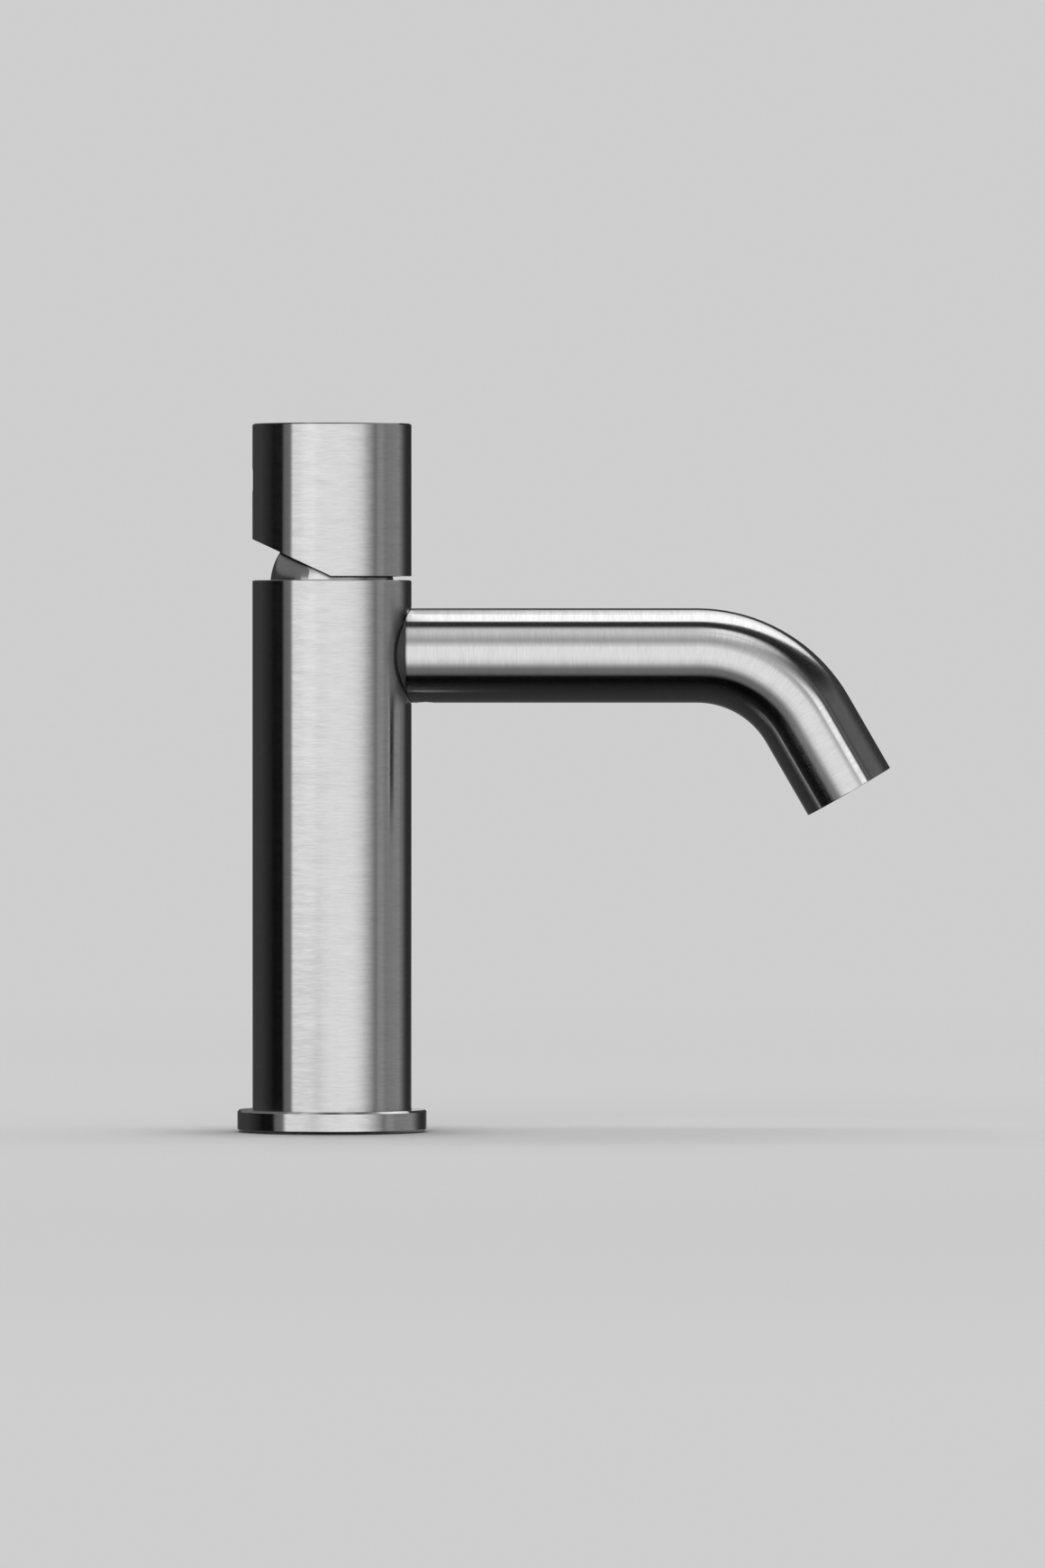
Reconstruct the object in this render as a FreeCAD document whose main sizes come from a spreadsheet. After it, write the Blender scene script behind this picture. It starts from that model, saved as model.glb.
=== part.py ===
import FreeCAD, Part
import os

import Sketcher

# Deck mounted basin mixer.
# Millimetres, Z up. The origin is on the column's axis at the deck's surface, and the spout points to +X.

doc = FreeCAD.newDocument("deck_mounted_mixer")
sizes = doc.addObject("Spreadsheet::Sheet", "sizes")

# Driving dimensions

DRIVING_SIZES = (
    # Column and foot
    ("column_height", 138.3),
    ("column_wall", 3),
    ("shoulder_width", 1.35),
    ("rim_depth", 7.3),
    ("rim_chamfer", 0.2),
    ("flange_overhang", 3.8),
    ("flange_thickness", 5.3),
    ("flange_chamfer", 0.5),
    ("spigot_height", 9),
    ("seal_diameter", 39),
    ("seal_width", 3),
    ("seal_thickness", 1.8),
    # Fits
    ("fixed_fit", 0.1),
    ("running_fit", 0.1),
    ("running_gap", 0.2),
    ("thread_fit", 0.05),
    ("pin_fit", 0.02),
    ("disc_film", 0.05),
    # Fixing below the deck
    ("deck_thickness", 25),
    ("stud_diameter", 8),
    ("stud_offset", 11.5),
    ("stud_reach_up", 12),
    ("stud_reach_down", 60),
    ("stud_slot_width", 1.5),
    ("stud_slot_depth", 1.6),
    ("hose_offset", 4),
    ("hose_spacing", 14),
    ("hose_hole", 12),
    ("horseshoe_diameter", 50),
    ("horseshoe_slot", 26.6),
    ("horseshoe_slot_offset", 9),
    ("gasket_thickness", 2),
    ("washer_thickness", 2.5),
    ("washer_hole", 8.8),
    ("nut_across_flats", 13),
    ("nut_height", 12),
    ("nut_chamfer", 0.5),
    # Valve block
    ("block_height", 39),
    ("cartridge_fit", 0.3),
    ("inlet_bore", 9),
    ("inlet_depth", 10),
    ("passage_bore", 5.2),
    ("inlet_port_offset", 4),
    ("inlet_port_spacing", 10.4),
    ("outlet_port_offset", 4.2),
    ("outlet_port_bore", 6),
    ("outlet_passage_depth", 8),
    ("chamber_depth", 2.3),
    ("chamber_room", 0.85),
    ("groove_depth", 1.6),
    ("groove_width", 1.8),
    ("groove_land", 0.7),
    ("o_ring_section", 1.5),
    ("lock_ring_height", 3),
    ("lock_ring_bore", 27.2),
    ("lock_ring_notches", 4),
    ("notch_width", 3),
    ("notch_depth", 1.6),
    # Spout
    ("spout_diameter", 23.8),
    ("spout_wall", 1.4),
    ("spout_below_rim", 18.9),
    ("spout_reach", 130),
    ("spout_tail", 39.5),
    ("spout_bend_radius", 32),
    ("spout_bend_angle", 60),
    ("spout_edge_round", 0.15),
    ("spot_face_depth", 1.9),
    ("spot_face_room", 0.25),
    ("saddle_seal_thickness", 0.4),
    ("saddle_seal_inset", 0.3),
    ("nipple_shank", 14),
    ("nipple_bore", 10.5),
    ("nipple_length", 16),
    ("nipple_groove_depth", 1.45),
    ("nipple_groove_width", 1.7),
    ("nipple_groove_start", 9),
    ("nipple_groove_pitch", 3.2),
    ("nipple_ring_section", 1.35),
    ("spout_screw_diameter", 4),
    ("spout_screw_length", 2.8),
    ("spout_screw_place", 5),
    # Outlet, measured up the tube from its end
    ("outlet_recess", 0.9),
    ("collar_recess", 1.1),
    ("collar_length", 10.6),
    ("collar_bore", 18.4),
    ("collar_lip", 1.2),
    ("collar_lip_bore", 16),
    ("aerator_length", 7.8),
    ("aerator_wall", 1.3),
    ("aerator_rim", 1),
    ("aerator_rim_bore", 14.6),
    ("mesh_thickness", 0.8),
    ("mesh_hole", 1.9),
    ("mesh_pitch", 2.9),
    ("core_hole", 1.6),
    ("core_hole_circle", 11),
    ("core_holes", 12),
    ("washer_bore", 14),
    # Handle
    ("handle_gap", 1.0),
    ("handle_length", 38.3),
    ("handle_room", 1.5),
    ("handle_bore_depth", 18.6),
    ("handle_chamfer", 0.3),
    ("tilt_angle", 25),
    ("stem_width", 7),
    ("stem_length", 10.5),
    ("stem_start", 7),
    ("socket_depth", 12),
    ("handle_screw_height", 5.5),
    ("handle_screw_diameter", 5),
    ("handle_screw_length", 10),
    ("plug_diameter", 6.4),
    ("plug_thickness", 2.3),
    ("plug_recess", 0.1),
    ("hex_socket", 2.5),
    ("hex_socket_depth", 2),
    # Dome cover
    ("pivot_below_rim", 1.3),
    ("dome_room", 0.2),
    ("dome_wall", 1.3),
    ("dome_fit", 0.15),
    ("dome_hole", 21.6),
    # Cartridge
    ("lever_arm", 9.5),
    ("ball_diameter", 4.8),
    ("arm_diameter", 3),
    ("pivot_block", 6),
    ("pivot_block_drop", 4.8),
    ("pin_diameter", 3),
    ("pin_length", 15),
    ("carrier_web", 0.7),
    ("carrier_above_ball", 2.1),
    ("carrier_half_width", 6.5),
    ("disc_room", 0.4),
    ("moving_disc_thickness", 2.8),
    ("disc_recess", 8.6),
    ("disc_recess_depth", 1.6),
    ("disc_recess_offset", 1.3),
    ("disc_lug_width", 4),
    ("disc_lug_depth", 1.4),
    ("disc_lug_height", 1.5),
    ("fixed_disc_thickness", 3),
    ("slot_inner_radius", 4.2),
    ("slot_outer_radius", 6),
    ("slot_first_angle", 18),
    ("slot_last_angle", 60),
    ("cartridge_base_thickness", 4.5),
    ("base_rim_thickness", 2.5),
    ("port_seal_width", 1.3),
    ("port_seal_thickness", 1),
    ("peg_diameter", 2.8),
    ("peg_length", 2),
    ("peg_offset", 3.5),
    ("peg_spacing", 17.2),
    ("cartridge_diameter", 25),
    ("cartridge_wall", 1.5),
    ("cartridge_top_wall", 1.9),
    ("neck_diameter", 19.6),
    ("neck_bore", 16),
    ("neck_above_pivot", 4),
    ("turn_flange_thickness", 2.2),
    ("turn_groove_depth", 1.15),
    ("turn_groove_width", 1.3),
    ("turn_ring_section", 1),
    ("turn_slot_back", 5.6),
    ("turn_slot_front", 6.4),
    ("ring_nut_wall", 1.5),
    ("ring_nut_lip", 2.2),
    ("ring_nut_thread", 3.5),
    ("ring_nut_notches", 6),
)

NAME_COLUMN = "A"
VALUE_COLUMN = "B"

for row, (alias, number) in enumerate(DRIVING_SIZES, start=1):
    sizes.set(NAME_COLUMN + str(row), alias)
    sizes.set(VALUE_COLUMN + str(row), str(number))
    sizes.setAlias(VALUE_COLUMN + str(row), alias)
doc.recompute()


def size(alias):
    """The cell of a driving dimension, as an expression."""
    return "sizes." + alias


def half(alias):
    """Half of a driving dimension, as an expression."""
    return "(sizes." + alias + " / 2)"


def value(expression):
    """The present number of an expression."""
    return float(sizes.evalExpression(expression))


# Levels and places worked out from the driving dimensions

CARTRIDGE_RADIUS = half("cartridge_diameter")
CAVITY_RADIUS = "(sizes.cartridge_diameter / 2 - sizes.cartridge_wall)"
POCKET_RADIUS = "(sizes.cartridge_diameter / 2 + sizes.cartridge_fit)"
RING_NUT_RADIUS = "(sizes.cartridge_diameter / 2 + sizes.ring_nut_wall)"
DOME_INNER_RADIUS = "(" + RING_NUT_RADIUS + " + sizes.dome_room)"
DOME_RADIUS = "(" + DOME_INNER_RADIUS + " + sizes.dome_wall)"
RIM_RADIUS = "(" + DOME_RADIUS + " + sizes.dome_fit)"
BORE_RADIUS = "(" + RIM_RADIUS + " + sizes.shoulder_width)"
COLUMN_RADIUS = "(" + BORE_RADIUS + " + sizes.column_wall)"
FLANGE_RADIUS = "(" + COLUMN_RADIUS + " + sizes.flange_overhang)"

SHOULDER = "(sizes.column_height - sizes.rim_depth)"
BLOCK_BOTTOM = "(" + SHOULDER + " - sizes.block_height)"
SPIGOT_RADIUS = "(" + BORE_RADIUS + " - sizes.fixed_fit)"
SPIGOT_TOP = "(sizes.flange_thickness + sizes.spigot_height)"
STUD_X = "(-sizes.stud_offset)"
HOSE_Y = half("hose_spacing")

PIVOT = "(sizes.column_height - sizes.pivot_below_rim)"
BALL_RADIUS = half("ball_diameter")
BALL = "(" + PIVOT + " - sizes.lever_arm)"
BALL_FLOOR = "(" + BALL + " - " + BALL_RADIUS + " - sizes.running_gap)"
CARRIER_BOTTOM = "(" + BALL_FLOOR + " - sizes.carrier_web)"
CARRIER_TOP = "(" + BALL + " + sizes.carrier_above_ball)"
MOVING_DISC_BOTTOM = "(" + CARRIER_BOTTOM + " - sizes.moving_disc_thickness)"
FIXED_DISC_TOP = "(" + MOVING_DISC_BOTTOM + " - sizes.disc_film)"
FIXED_DISC_BOTTOM = "(" + FIXED_DISC_TOP + " - sizes.fixed_disc_thickness)"
POCKET_FLOOR = "(" + FIXED_DISC_BOTTOM + " - sizes.cartridge_base_thickness)"
HOUSING_BOTTOM = "(" + POCKET_FLOOR + " + sizes.base_rim_thickness)"
TURN_FLANGE_BOTTOM = "(" + CARRIER_TOP + " + sizes.running_gap)"
TURN_FLANGE_TOP = "(" + TURN_FLANGE_BOTTOM + " + sizes.turn_flange_thickness)"
HOUSING_CEILING = "(" + TURN_FLANGE_TOP + " + sizes.running_fit)"
HOUSING_SHOULDER = "(" + HOUSING_CEILING + " + sizes.cartridge_top_wall)"
NECK_TOP = "(" + PIVOT + " + sizes.neck_above_pivot)"
RING_NUT_BOTTOM = "(" + SHOULDER + " - sizes.ring_nut_thread)"
RING_NUT_TOP = "(" + HOUSING_SHOULDER + " + sizes.ring_nut_lip)"
DISC_TRAVEL = "(sizes.lever_arm * sin(sizes.tilt_angle))"
DISC_X = "(-" + DISC_TRAVEL + " / 2)"
DISC_SEAT_RADIUS = "(" + CAVITY_RADIUS + " - sizes.fixed_fit)"
TURN_RADIUS = "(" + CAVITY_RADIUS + " - sizes.running_gap)"
MOVING_DISC_RADIUS = "(" + CAVITY_RADIUS + " - " + DISC_TRAVEL + " / 2 - sizes.disc_room)"

HANDLE_BOTTOM = "(sizes.column_height + sizes.handle_gap)"
HANDLE_TOP = "(" + HANDLE_BOTTOM + " + sizes.handle_length)"
HANDLE_CEILING = "(" + HANDLE_BOTTOM + " + sizes.handle_bore_depth)"
HANDLE_BORE_RADIUS = "(" + DOME_RADIUS + " + sizes.handle_room)"
HANDLE_SCREW_Z = "(" + HANDLE_CEILING + " + sizes.handle_screw_height)"
STEM_TOP = "(" + HANDLE_CEILING + " + sizes.stem_length)"

SPOUT_Z = "(sizes.column_height - sizes.spout_below_rim)"
SPOUT_RADIUS = half("spout_diameter")
TUBE_BORE_RADIUS = "(sizes.spout_diameter / 2 - sizes.spout_wall)"
SPOT_FACE_X = "(" + COLUMN_RADIUS + " - sizes.spot_face_depth)"
SEAT_X = "(" + SPOT_FACE_X + " + sizes.saddle_seal_thickness)"
CORNER_X = "(sizes.spout_reach - sizes.spout_tail * cos(sizes.spout_bend_angle))"
OUTLET_DROP = "(sizes.spout_tail * sin(sizes.spout_bend_angle))"
OUTLET_Z = "(" + SPOUT_Z + " - " + OUTLET_DROP + ")"
BEND_TANGENT = "(sizes.spout_bend_radius * tan(sizes.spout_bend_angle / 2))"
NIPPLE_RADIUS = "(" + TUBE_BORE_RADIUS + " - sizes.fixed_fit)"
NIPPLE_GROOVE_RADIUS = "(" + NIPPLE_RADIUS + " - sizes.nipple_groove_depth)"
OUTLET_TURN = "(sizes.spout_bend_angle - 90)"

GALLERY_BOTTOM = "(" + POCKET_FLOOR + " - sizes.outlet_passage_depth)"
CHAMBER_BOTTOM = "(" + GALLERY_BOTTOM + " - sizes.chamber_room)"
CHAMBER_TOP = "(" + SPOUT_Z + " + sizes.nipple_bore / 2)"
LOW_GROOVE_TOP = "(" + CHAMBER_BOTTOM + " - sizes.groove_land)"
HIGH_GROOVE_BOTTOM = "(" + CHAMBER_TOP + " + sizes.groove_land)"

WASHER_TOP = "(-sizes.deck_thickness - sizes.gasket_thickness)"
NUT_TOP = "(" + WASHER_TOP + " - sizes.washer_thickness)"

# How far a cutting tool starts outside the piece that it cuts
OVERSHOOT = "1"

# How close two places must be to count as the same
SAME_PLACE = 0.01

X_AXIS = FreeCAD.Vector(1, 0, 0)
Y_AXIS = FreeCAD.Vector(0, 1, 0)

# The turn that points a primitive's height along a direction, with that direction's letter and sign
POINTING = {
    "down": (X_AXIS, "180", "z", "-"),
    "back": (Y_AXIS, "-90", "x", "-"),
}


# Building blocks


def new_body(label, place=("0", "0", "0"), axis=None, angle="0"):
    """An empty body with its place, and its turn about an axis, bound to the sizes."""
    body = doc.addObject("PartDesign::Body", label)
    body.Label = label
    if axis:
        body.Placement = FreeCAD.Placement(FreeCAD.Vector(), FreeCAD.Rotation(axis, value(angle)))
        body.setExpression("Placement.Rotation.Angle", angle)
    for letter, expression in zip("xyz", place):
        body.setExpression("Placement.Base." + letter, expression)
    return body


def origin_part(body, role):
    """One of the body's own origin planes or axes."""
    return next(feature for feature in body.Origin.OriginFeatures if feature.Role == role)


def sketch_on(body, name, plane="XY_Plane", lift="0"):
    """A sketch on one of the body's origin planes, lifted along the plane's normal."""
    sketch = body.newObject("Sketcher::SketchObject", name)
    sketch.AttachmentSupport = [(origin_part(body, plane), "")]
    sketch.MapMode = "FlatFace"
    sketch.setExpression("AttachmentOffset.Base.z", lift)
    return sketch


def bind(sketch, constraint, expression):
    """Add a constraint whose number follows an expression."""
    index = sketch.addConstraint(constraint)
    sketch.setExpression("Constraints[" + str(index) + "]", expression)


def pin_point(sketch, edge, end, u, v):
    """Hold a point at two distances from the sketch's origin."""
    bind(sketch, Sketcher.Constraint("DistanceX", -1, 1, edge, end, value(u)), u)
    bind(sketch, Sketcher.Constraint("DistanceY", -1, 1, edge, end, value(v)), v)


def add_arc(sketch, start, end, centre, left_hand):
    """An arc from start to end. It returns the edge and the ends that meet start and end."""
    middle = FreeCAD.Vector(value(centre[0]), value(centre[1]), 0)
    first, last = (start, end) if left_hand else (end, start)
    reference = FreeCAD.Vector(1, 0, 0)
    angles = []
    for point in (first, last):
        arm = point - middle
        angle = reference.getAngle(arm)
        angles.append(angle if arm.y >= 0 else -angle)
    circle_edge = Part.Circle(middle, FreeCAD.Vector(0, 0, 1), (start - middle).Length)
    edge = sketch.addGeometry(Part.ArcOfCircle(circle_edge, angles[0], angles[1]), False)
    chord = end - start
    if abs(chord.x) < abs(chord.y):
        bind(sketch, Sketcher.Constraint("DistanceX", -1, 1, edge, 3, middle.x), centre[0])
    else:
        bind(sketch, Sketcher.Constraint("DistanceY", -1, 1, edge, 3, middle.y), centre[1])
    return (edge, 1, 2) if left_hand else (edge, 2, 1)


def outline(sketch, corners, closed=True):
    """Edges through the corners. A corner (u, v, centre, left_hand) starts an arc to the next one."""
    points = [FreeCAD.Vector(value(corner[0]), value(corner[1]), 0) for corner in corners]
    edges = []
    edge_count = len(points) if closed else len(points) - 1
    for number in range(edge_count):
        start = points[number]
        end = points[(number + 1) % len(points)]
        corner = corners[number]
        if len(corner) > 2:
            edges.append(add_arc(sketch, start, end, corner[2], corner[3]))
        else:
            edge = sketch.addGeometry(Part.LineSegment(start, end), False)
            edges.append((edge, 1, 2))
    for number, corner in enumerate(corners):
        if number < edge_count:
            edge, start_end, _ = edges[number]
            pin_point(sketch, edge, start_end, corner[0], corner[1])
        else:
            edge, _, far_end = edges[-1]
            pin_point(sketch, edge, far_end, corner[0], corner[1])
        if number < edge_count and (closed or number > 0):
            before, _, before_end = edges[number - 1]
            sketch.addConstraint(Sketcher.Constraint("Coincident", before, before_end, edge, start_end))
    return sketch


def add_circle(sketch, u, v, radius):
    """A circle whose centre and radius follow expressions."""
    centre = FreeCAD.Vector(value(u), value(v), 0)
    edge = sketch.addGeometry(Part.Circle(centre, FreeCAD.Vector(0, 0, 1), value(radius)), False)
    pin_point(sketch, edge, 3, u, v)
    bind(sketch, Sketcher.Constraint("Radius", edge, value(radius)), radius)
    return sketch


def circles_on(body, name, circles, plane="XY_Plane", lift="0"):
    """A sketch that holds circles, each (u, v, radius)."""
    sketch = sketch_on(body, name, plane, lift)
    for u, v, radius in circles:
        add_circle(sketch, u, v, radius)
    return sketch


def rectangle(left, right, bottom, top):
    """The corners of a rectangle."""
    return [(left, bottom), (right, bottom), (right, top), (left, top)]


def outline_on(body, name, corners, plane="XY_Plane", lift="0"):
    """A sketch that holds one closed outline."""
    return outline(sketch_on(body, name, plane, lift), corners)


def revolve(body, name, corners, cut=False):
    """Turn an outline of (radius, height) corners round the body's Z axis."""
    sketch = outline_on(body, name + "_outline", corners, "XZ_Plane")
    kind = "PartDesign::Groove" if cut else "PartDesign::Revolution"
    feature = body.newObject(kind, name)
    feature.Profile = sketch
    feature.ReferenceAxis = (sketch, ["V_Axis"])
    feature.Angle = 360
    return feature


def pad(body, name, sketch, length, backwards=False):
    """Raise a sketch along its normal."""
    feature = body.newObject("PartDesign::Pad", name)
    feature.Profile = sketch
    feature.setExpression("Length", length)
    feature.Reversed = backwards
    return feature


def pocket(body, name, sketch, depth, forwards=False, both_ways=False):
    """Cut a sketch against its normal, along it, or half of the depth each way."""
    feature = body.newObject("PartDesign::Pocket", name)
    feature.Profile = sketch
    feature.setExpression("Length", depth)
    feature.Reversed = forwards
    if both_ways:
        feature.SideType = "Symmetric"
    return feature


def polar_pattern(body, name, original, copies):
    """Repeat a feature evenly round the body's Z axis."""
    feature = body.newObject("PartDesign::PolarPattern", name)
    feature.Originals = [original]
    feature.Axis = (origin_part(body, "Z_Axis"), [""])
    feature.Angle = 360
    feature.setExpression("Occurrences", copies)
    body.Tip = feature
    return feature


def round_edges(body, name, base, is_wanted, radius):
    """Round the edges of a feature that a test picks."""
    doc.recompute()
    wanted = []
    for number, edge in enumerate(base.Shape.Edges, start=1):
        if is_wanted(edge):
            wanted.append("Edge" + str(number))
    if not wanted:
        raise ValueError("no edge found for " + name)
    feature = body.newObject("PartDesign::Fillet", name)
    feature.Base = (base, wanted)
    feature.setExpression("Radius", radius)
    return feature


def solid(kind, name, place=("0", "0", "0"), axis=None, angle="0", **bound):
    """A Part primitive whose sizes and place follow expressions."""
    item = doc.addObject(kind, name)
    if axis:
        item.Placement = FreeCAD.Placement(FreeCAD.Vector(), FreeCAD.Rotation(axis, value(angle)))
        item.setExpression("Placement.Rotation.Angle", angle)
    for letter, expression in zip("xyz", place):
        item.setExpression("Placement.Base." + letter, expression)
    for dimension, expression in bound.items():
        item.setExpression(dimension, expression)
    return item


def cut_away(name, base, tool):
    """One Part solid less another."""
    item = doc.addObject("Part::Cut", name)
    item.Base = base
    item.Tool = tool
    item.Label = name
    return item


def group_solids(name, members):
    """Like solids that share one node."""
    item = doc.addObject("Part::Compound", name)
    item.Links = members
    item.Label = name
    return item


def o_ring(name, z, radius, section_radius, x="0", axis=None, angle="0"):
    """A ring of round section round the Z axis, or round a turned one."""
    return solid(
        "Part::Torus", name, (x, "0", z), axis, angle, Radius1=radius, Radius2=section_radius
    )


def grub_screw(name, radius, length, tip, pointing):
    """A headless screw. Its tip is at a place, and its other end has a hexagon socket."""
    axis, angle, letter, sign = POINTING[pointing]
    shank = solid("Part::Cylinder", name + "_shank", tip, axis, angle, Radius=radius, Height=length)
    socket_place = dict(zip("xyz", tip))
    socket_place[letter] += " " + sign + " (" + length + " - sizes.hex_socket_depth)"
    socket = solid(
        "Part::Prism",
        name + "_socket",
        tuple(socket_place.values()),
        axis,
        angle,
        Circumradius="sizes.hex_socket / sqrt(3)",
        Height="sizes.hex_socket_depth + " + OVERSHOOT,
    )
    socket.Polygon = 6
    return cut_away(name, shank, socket)


# Column and foot


def make_column():
    """The upright tube: a plain bore for the valve block up to a shoulder, and a narrower rim."""
    column = new_body("column")
    edge_radius = "(" + COLUMN_RADIUS + " - sizes.rim_chamfer)"
    edge_height = "(sizes.column_height - sizes.rim_chamfer)"
    revolve(
        column,
        "column_tube",
        [
            (BORE_RADIUS, size("flange_thickness")),
            (COLUMN_RADIUS, size("flange_thickness")),
            (COLUMN_RADIUS, edge_height),
            (edge_radius, size("column_height")),
            (RIM_RADIUS, size("column_height")),
            (RIM_RADIUS, SHOULDER),
            (BORE_RADIUS, SHOULDER),
        ],
    )
    start = "(" + COLUMN_RADIUS + " + " + OVERSHOOT + ")"
    shank_hole = "(sizes.nipple_shank / 2 + sizes.fixed_fit)"
    hole = circles_on(
        column, "nipple_hole_circle", [("0", SPOUT_Z, shank_hole)], "YZ_Plane", start
    )
    pocket(column, "nipple_hole", hole, start)
    face_radius = "(" + SPOUT_RADIUS + " + sizes.spot_face_room)"
    face = circles_on(
        column, "spot_face_circle", [("0", SPOUT_Z, face_radius)], "YZ_Plane", start
    )
    pocket(column, "spot_face", face, "sizes.spot_face_depth + " + OVERSHOOT)
    return column


def make_base_flange():
    """The foot plate, with the spigot that the column stands on."""
    flange = new_body("base_flange")
    chamfered = "(" + FLANGE_RADIUS + " - sizes.flange_chamfer)"
    revolve(
        flange,
        "foot_plate",
        [
            ("0", "0"),
            (chamfered, "0"),
            (FLANGE_RADIUS, size("flange_chamfer")),
            (FLANGE_RADIUS, "(sizes.flange_thickness - sizes.flange_chamfer)"),
            (chamfered, size("flange_thickness")),
            (SPIGOT_RADIUS, size("flange_thickness")),
            (SPIGOT_RADIUS, SPIGOT_TOP),
            ("0", SPIGOT_TOP),
        ],
    )
    groove_inner = "(sizes.seal_diameter / 2 - sizes.seal_width / 2 - sizes.fixed_fit)"
    groove_outer = "(sizes.seal_diameter / 2 + sizes.seal_width / 2 + sizes.fixed_fit)"
    revolve(
        flange,
        "seal_groove",
        rectangle(groove_inner, groove_outer, "-" + OVERSHOOT, size("seal_thickness")),
        cut=True,
    )
    hose_radius = half("hose_hole")
    holes = circles_on(
        flange,
        "foot_hole_circles",
        [
            (size("hose_offset"), HOSE_Y, hose_radius),
            (size("hose_offset"), "-" + HOSE_Y, hose_radius),
            (STUD_X, "0", "(sizes.stud_diameter / 2 + sizes.fixed_fit)"),
        ],
        lift=SPIGOT_TOP,
    )
    pocket(flange, "foot_holes", holes, SPIGOT_TOP)
    return flange


def make_base_seal():
    """The rubber ring under the foot plate, level with its underside."""
    seal = new_body("base_seal")
    inner = "((sizes.seal_diameter - sizes.seal_width) / 2)"
    outer = "((sizes.seal_diameter + sizes.seal_width) / 2)"
    revolve(seal, "seal_ring", rectangle(inner, outer, "0", size("seal_thickness")))
    return seal


# Valve block


def make_valve_block():
    """The brass block: cartridge pocket on top, hose ports below, outlet chamber round its waist."""
    block = new_body("valve_block")
    radius = SPIGOT_RADIUS
    chamber_radius = "(" + radius + " - sizes.chamber_depth)"
    groove_radius = "(" + BORE_RADIUS + " - sizes.groove_depth)"
    low_groove_bottom = "(" + LOW_GROOVE_TOP + " - sizes.groove_width)"
    high_groove_top = "(" + HIGH_GROOVE_BOTTOM + " + sizes.groove_width)"
    nut_radius = "(" + RING_NUT_RADIUS + " + sizes.fixed_fit)"
    nut_floor = "(" + RING_NUT_BOTTOM + " - sizes.running_gap)"
    revolve(
        block,
        "block_blank",
        [
            ("0", BLOCK_BOTTOM),
            (radius, BLOCK_BOTTOM),
            (radius, low_groove_bottom),
            (groove_radius, low_groove_bottom),
            (groove_radius, LOW_GROOVE_TOP),
            (radius, LOW_GROOVE_TOP),
            (radius, CHAMBER_BOTTOM),
            (chamber_radius, CHAMBER_BOTTOM),
            (chamber_radius, CHAMBER_TOP),
            (radius, CHAMBER_TOP),
            (radius, HIGH_GROOVE_BOTTOM),
            (groove_radius, HIGH_GROOVE_BOTTOM),
            (groove_radius, high_groove_top),
            (radius, high_groove_top),
            (radius, SHOULDER),
            (nut_radius, SHOULDER),
            (nut_radius, nut_floor),
            (POCKET_RADIUS, nut_floor),
            (POCKET_RADIUS, POCKET_FLOOR),
            ("0", POCKET_FLOOR),
        ],
    )
    inlet_radius = half("inlet_bore")
    inlets = circles_on(
        block,
        "inlet_circles",
        [(size("hose_offset"), sign + HOSE_Y, inlet_radius) for sign in ("", "-")],
        lift=BLOCK_BOTTOM,
    )
    pocket(block, "inlet_ports", inlets, size("inlet_depth"), forwards=True)
    port_y = half("inlet_port_spacing")
    passages = circles_on(
        block,
        "passage_circles",
        [(size("inlet_port_offset"), sign + port_y, half("passage_bore")) for sign in ("", "-")],
        lift=POCKET_FLOOR,
    )
    inlet_top = "(" + BLOCK_BOTTOM + " + sizes.inlet_depth)"
    pocket(block, "inlet_passages", passages, POCKET_FLOOR + " - " + inlet_top)
    outlet = circles_on(
        block,
        "outlet_circle",
        [("-sizes.outlet_port_offset", "0", half("outlet_port_bore"))],
        lift=POCKET_FLOOR,
    )
    pocket(block, "outlet_passage", outlet, size("outlet_passage_depth"))
    gallery_z = "(" + GALLERY_BOTTOM + " + sizes.outlet_port_bore / 2)"
    gallery = circles_on(
        block,
        "gallery_circle",
        [("0", gallery_z, half("outlet_port_bore"))],
        "YZ_Plane",
        "-" + radius,
    )
    pocket(block, "outlet_gallery", gallery, radius + " - sizes.outlet_port_offset", forwards=True)
    pegs = circles_on(
        block,
        "peg_hole_circles",
        [
            ("-sizes.peg_offset", sign + half("peg_spacing"), "(sizes.peg_diameter / 2 + sizes.fixed_fit)")
            for sign in ("", "-")
        ],
        lift=POCKET_FLOOR,
    )
    pocket(block, "peg_holes", pegs, "sizes.peg_length + sizes.running_gap")
    return block


def make_block_o_rings():
    """Two rings in the block's grooves, one on each side of the outlet chamber."""
    radius = "(" + BORE_RADIUS + " - sizes.groove_depth / 2)"
    section = half("o_ring_section")
    low_z = LOW_GROOVE_TOP + " - sizes.groove_width / 2"
    high_z = HIGH_GROOVE_BOTTOM + " + sizes.groove_width / 2"
    low_ring = o_ring("block_o_ring_low", low_z, radius, section)
    high_ring = o_ring("block_o_ring_high", high_z, radius, section)
    return group_solids("block_o_rings", [low_ring, high_ring])


def make_block_lock_ring():
    """The notched ring that is screwed up against the block."""
    ring = new_body("block_lock_ring", ("0", "0", BLOCK_BOTTOM + " - sizes.lock_ring_height"))
    inner = half("lock_ring_bore")
    revolve(ring, "lock_ring_blank", rectangle(inner, SPIGOT_RADIUS, "0", size("lock_ring_height")))
    notch = outline_on(
        ring,
        "lock_notch_outline",
        rectangle(
            "(" + inner + " - " + OVERSHOOT + ")",
            "(" + inner + " + sizes.notch_depth)",
            "-sizes.notch_width / 2",
            "sizes.notch_width / 2",
        ),
    )
    first_notch = pocket(ring, "lock_notch", notch, half("lock_ring_height"), forwards=True)
    polar_pattern(ring, "lock_notches", first_notch, size("lock_ring_notches"))
    return ring


# Spout


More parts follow.
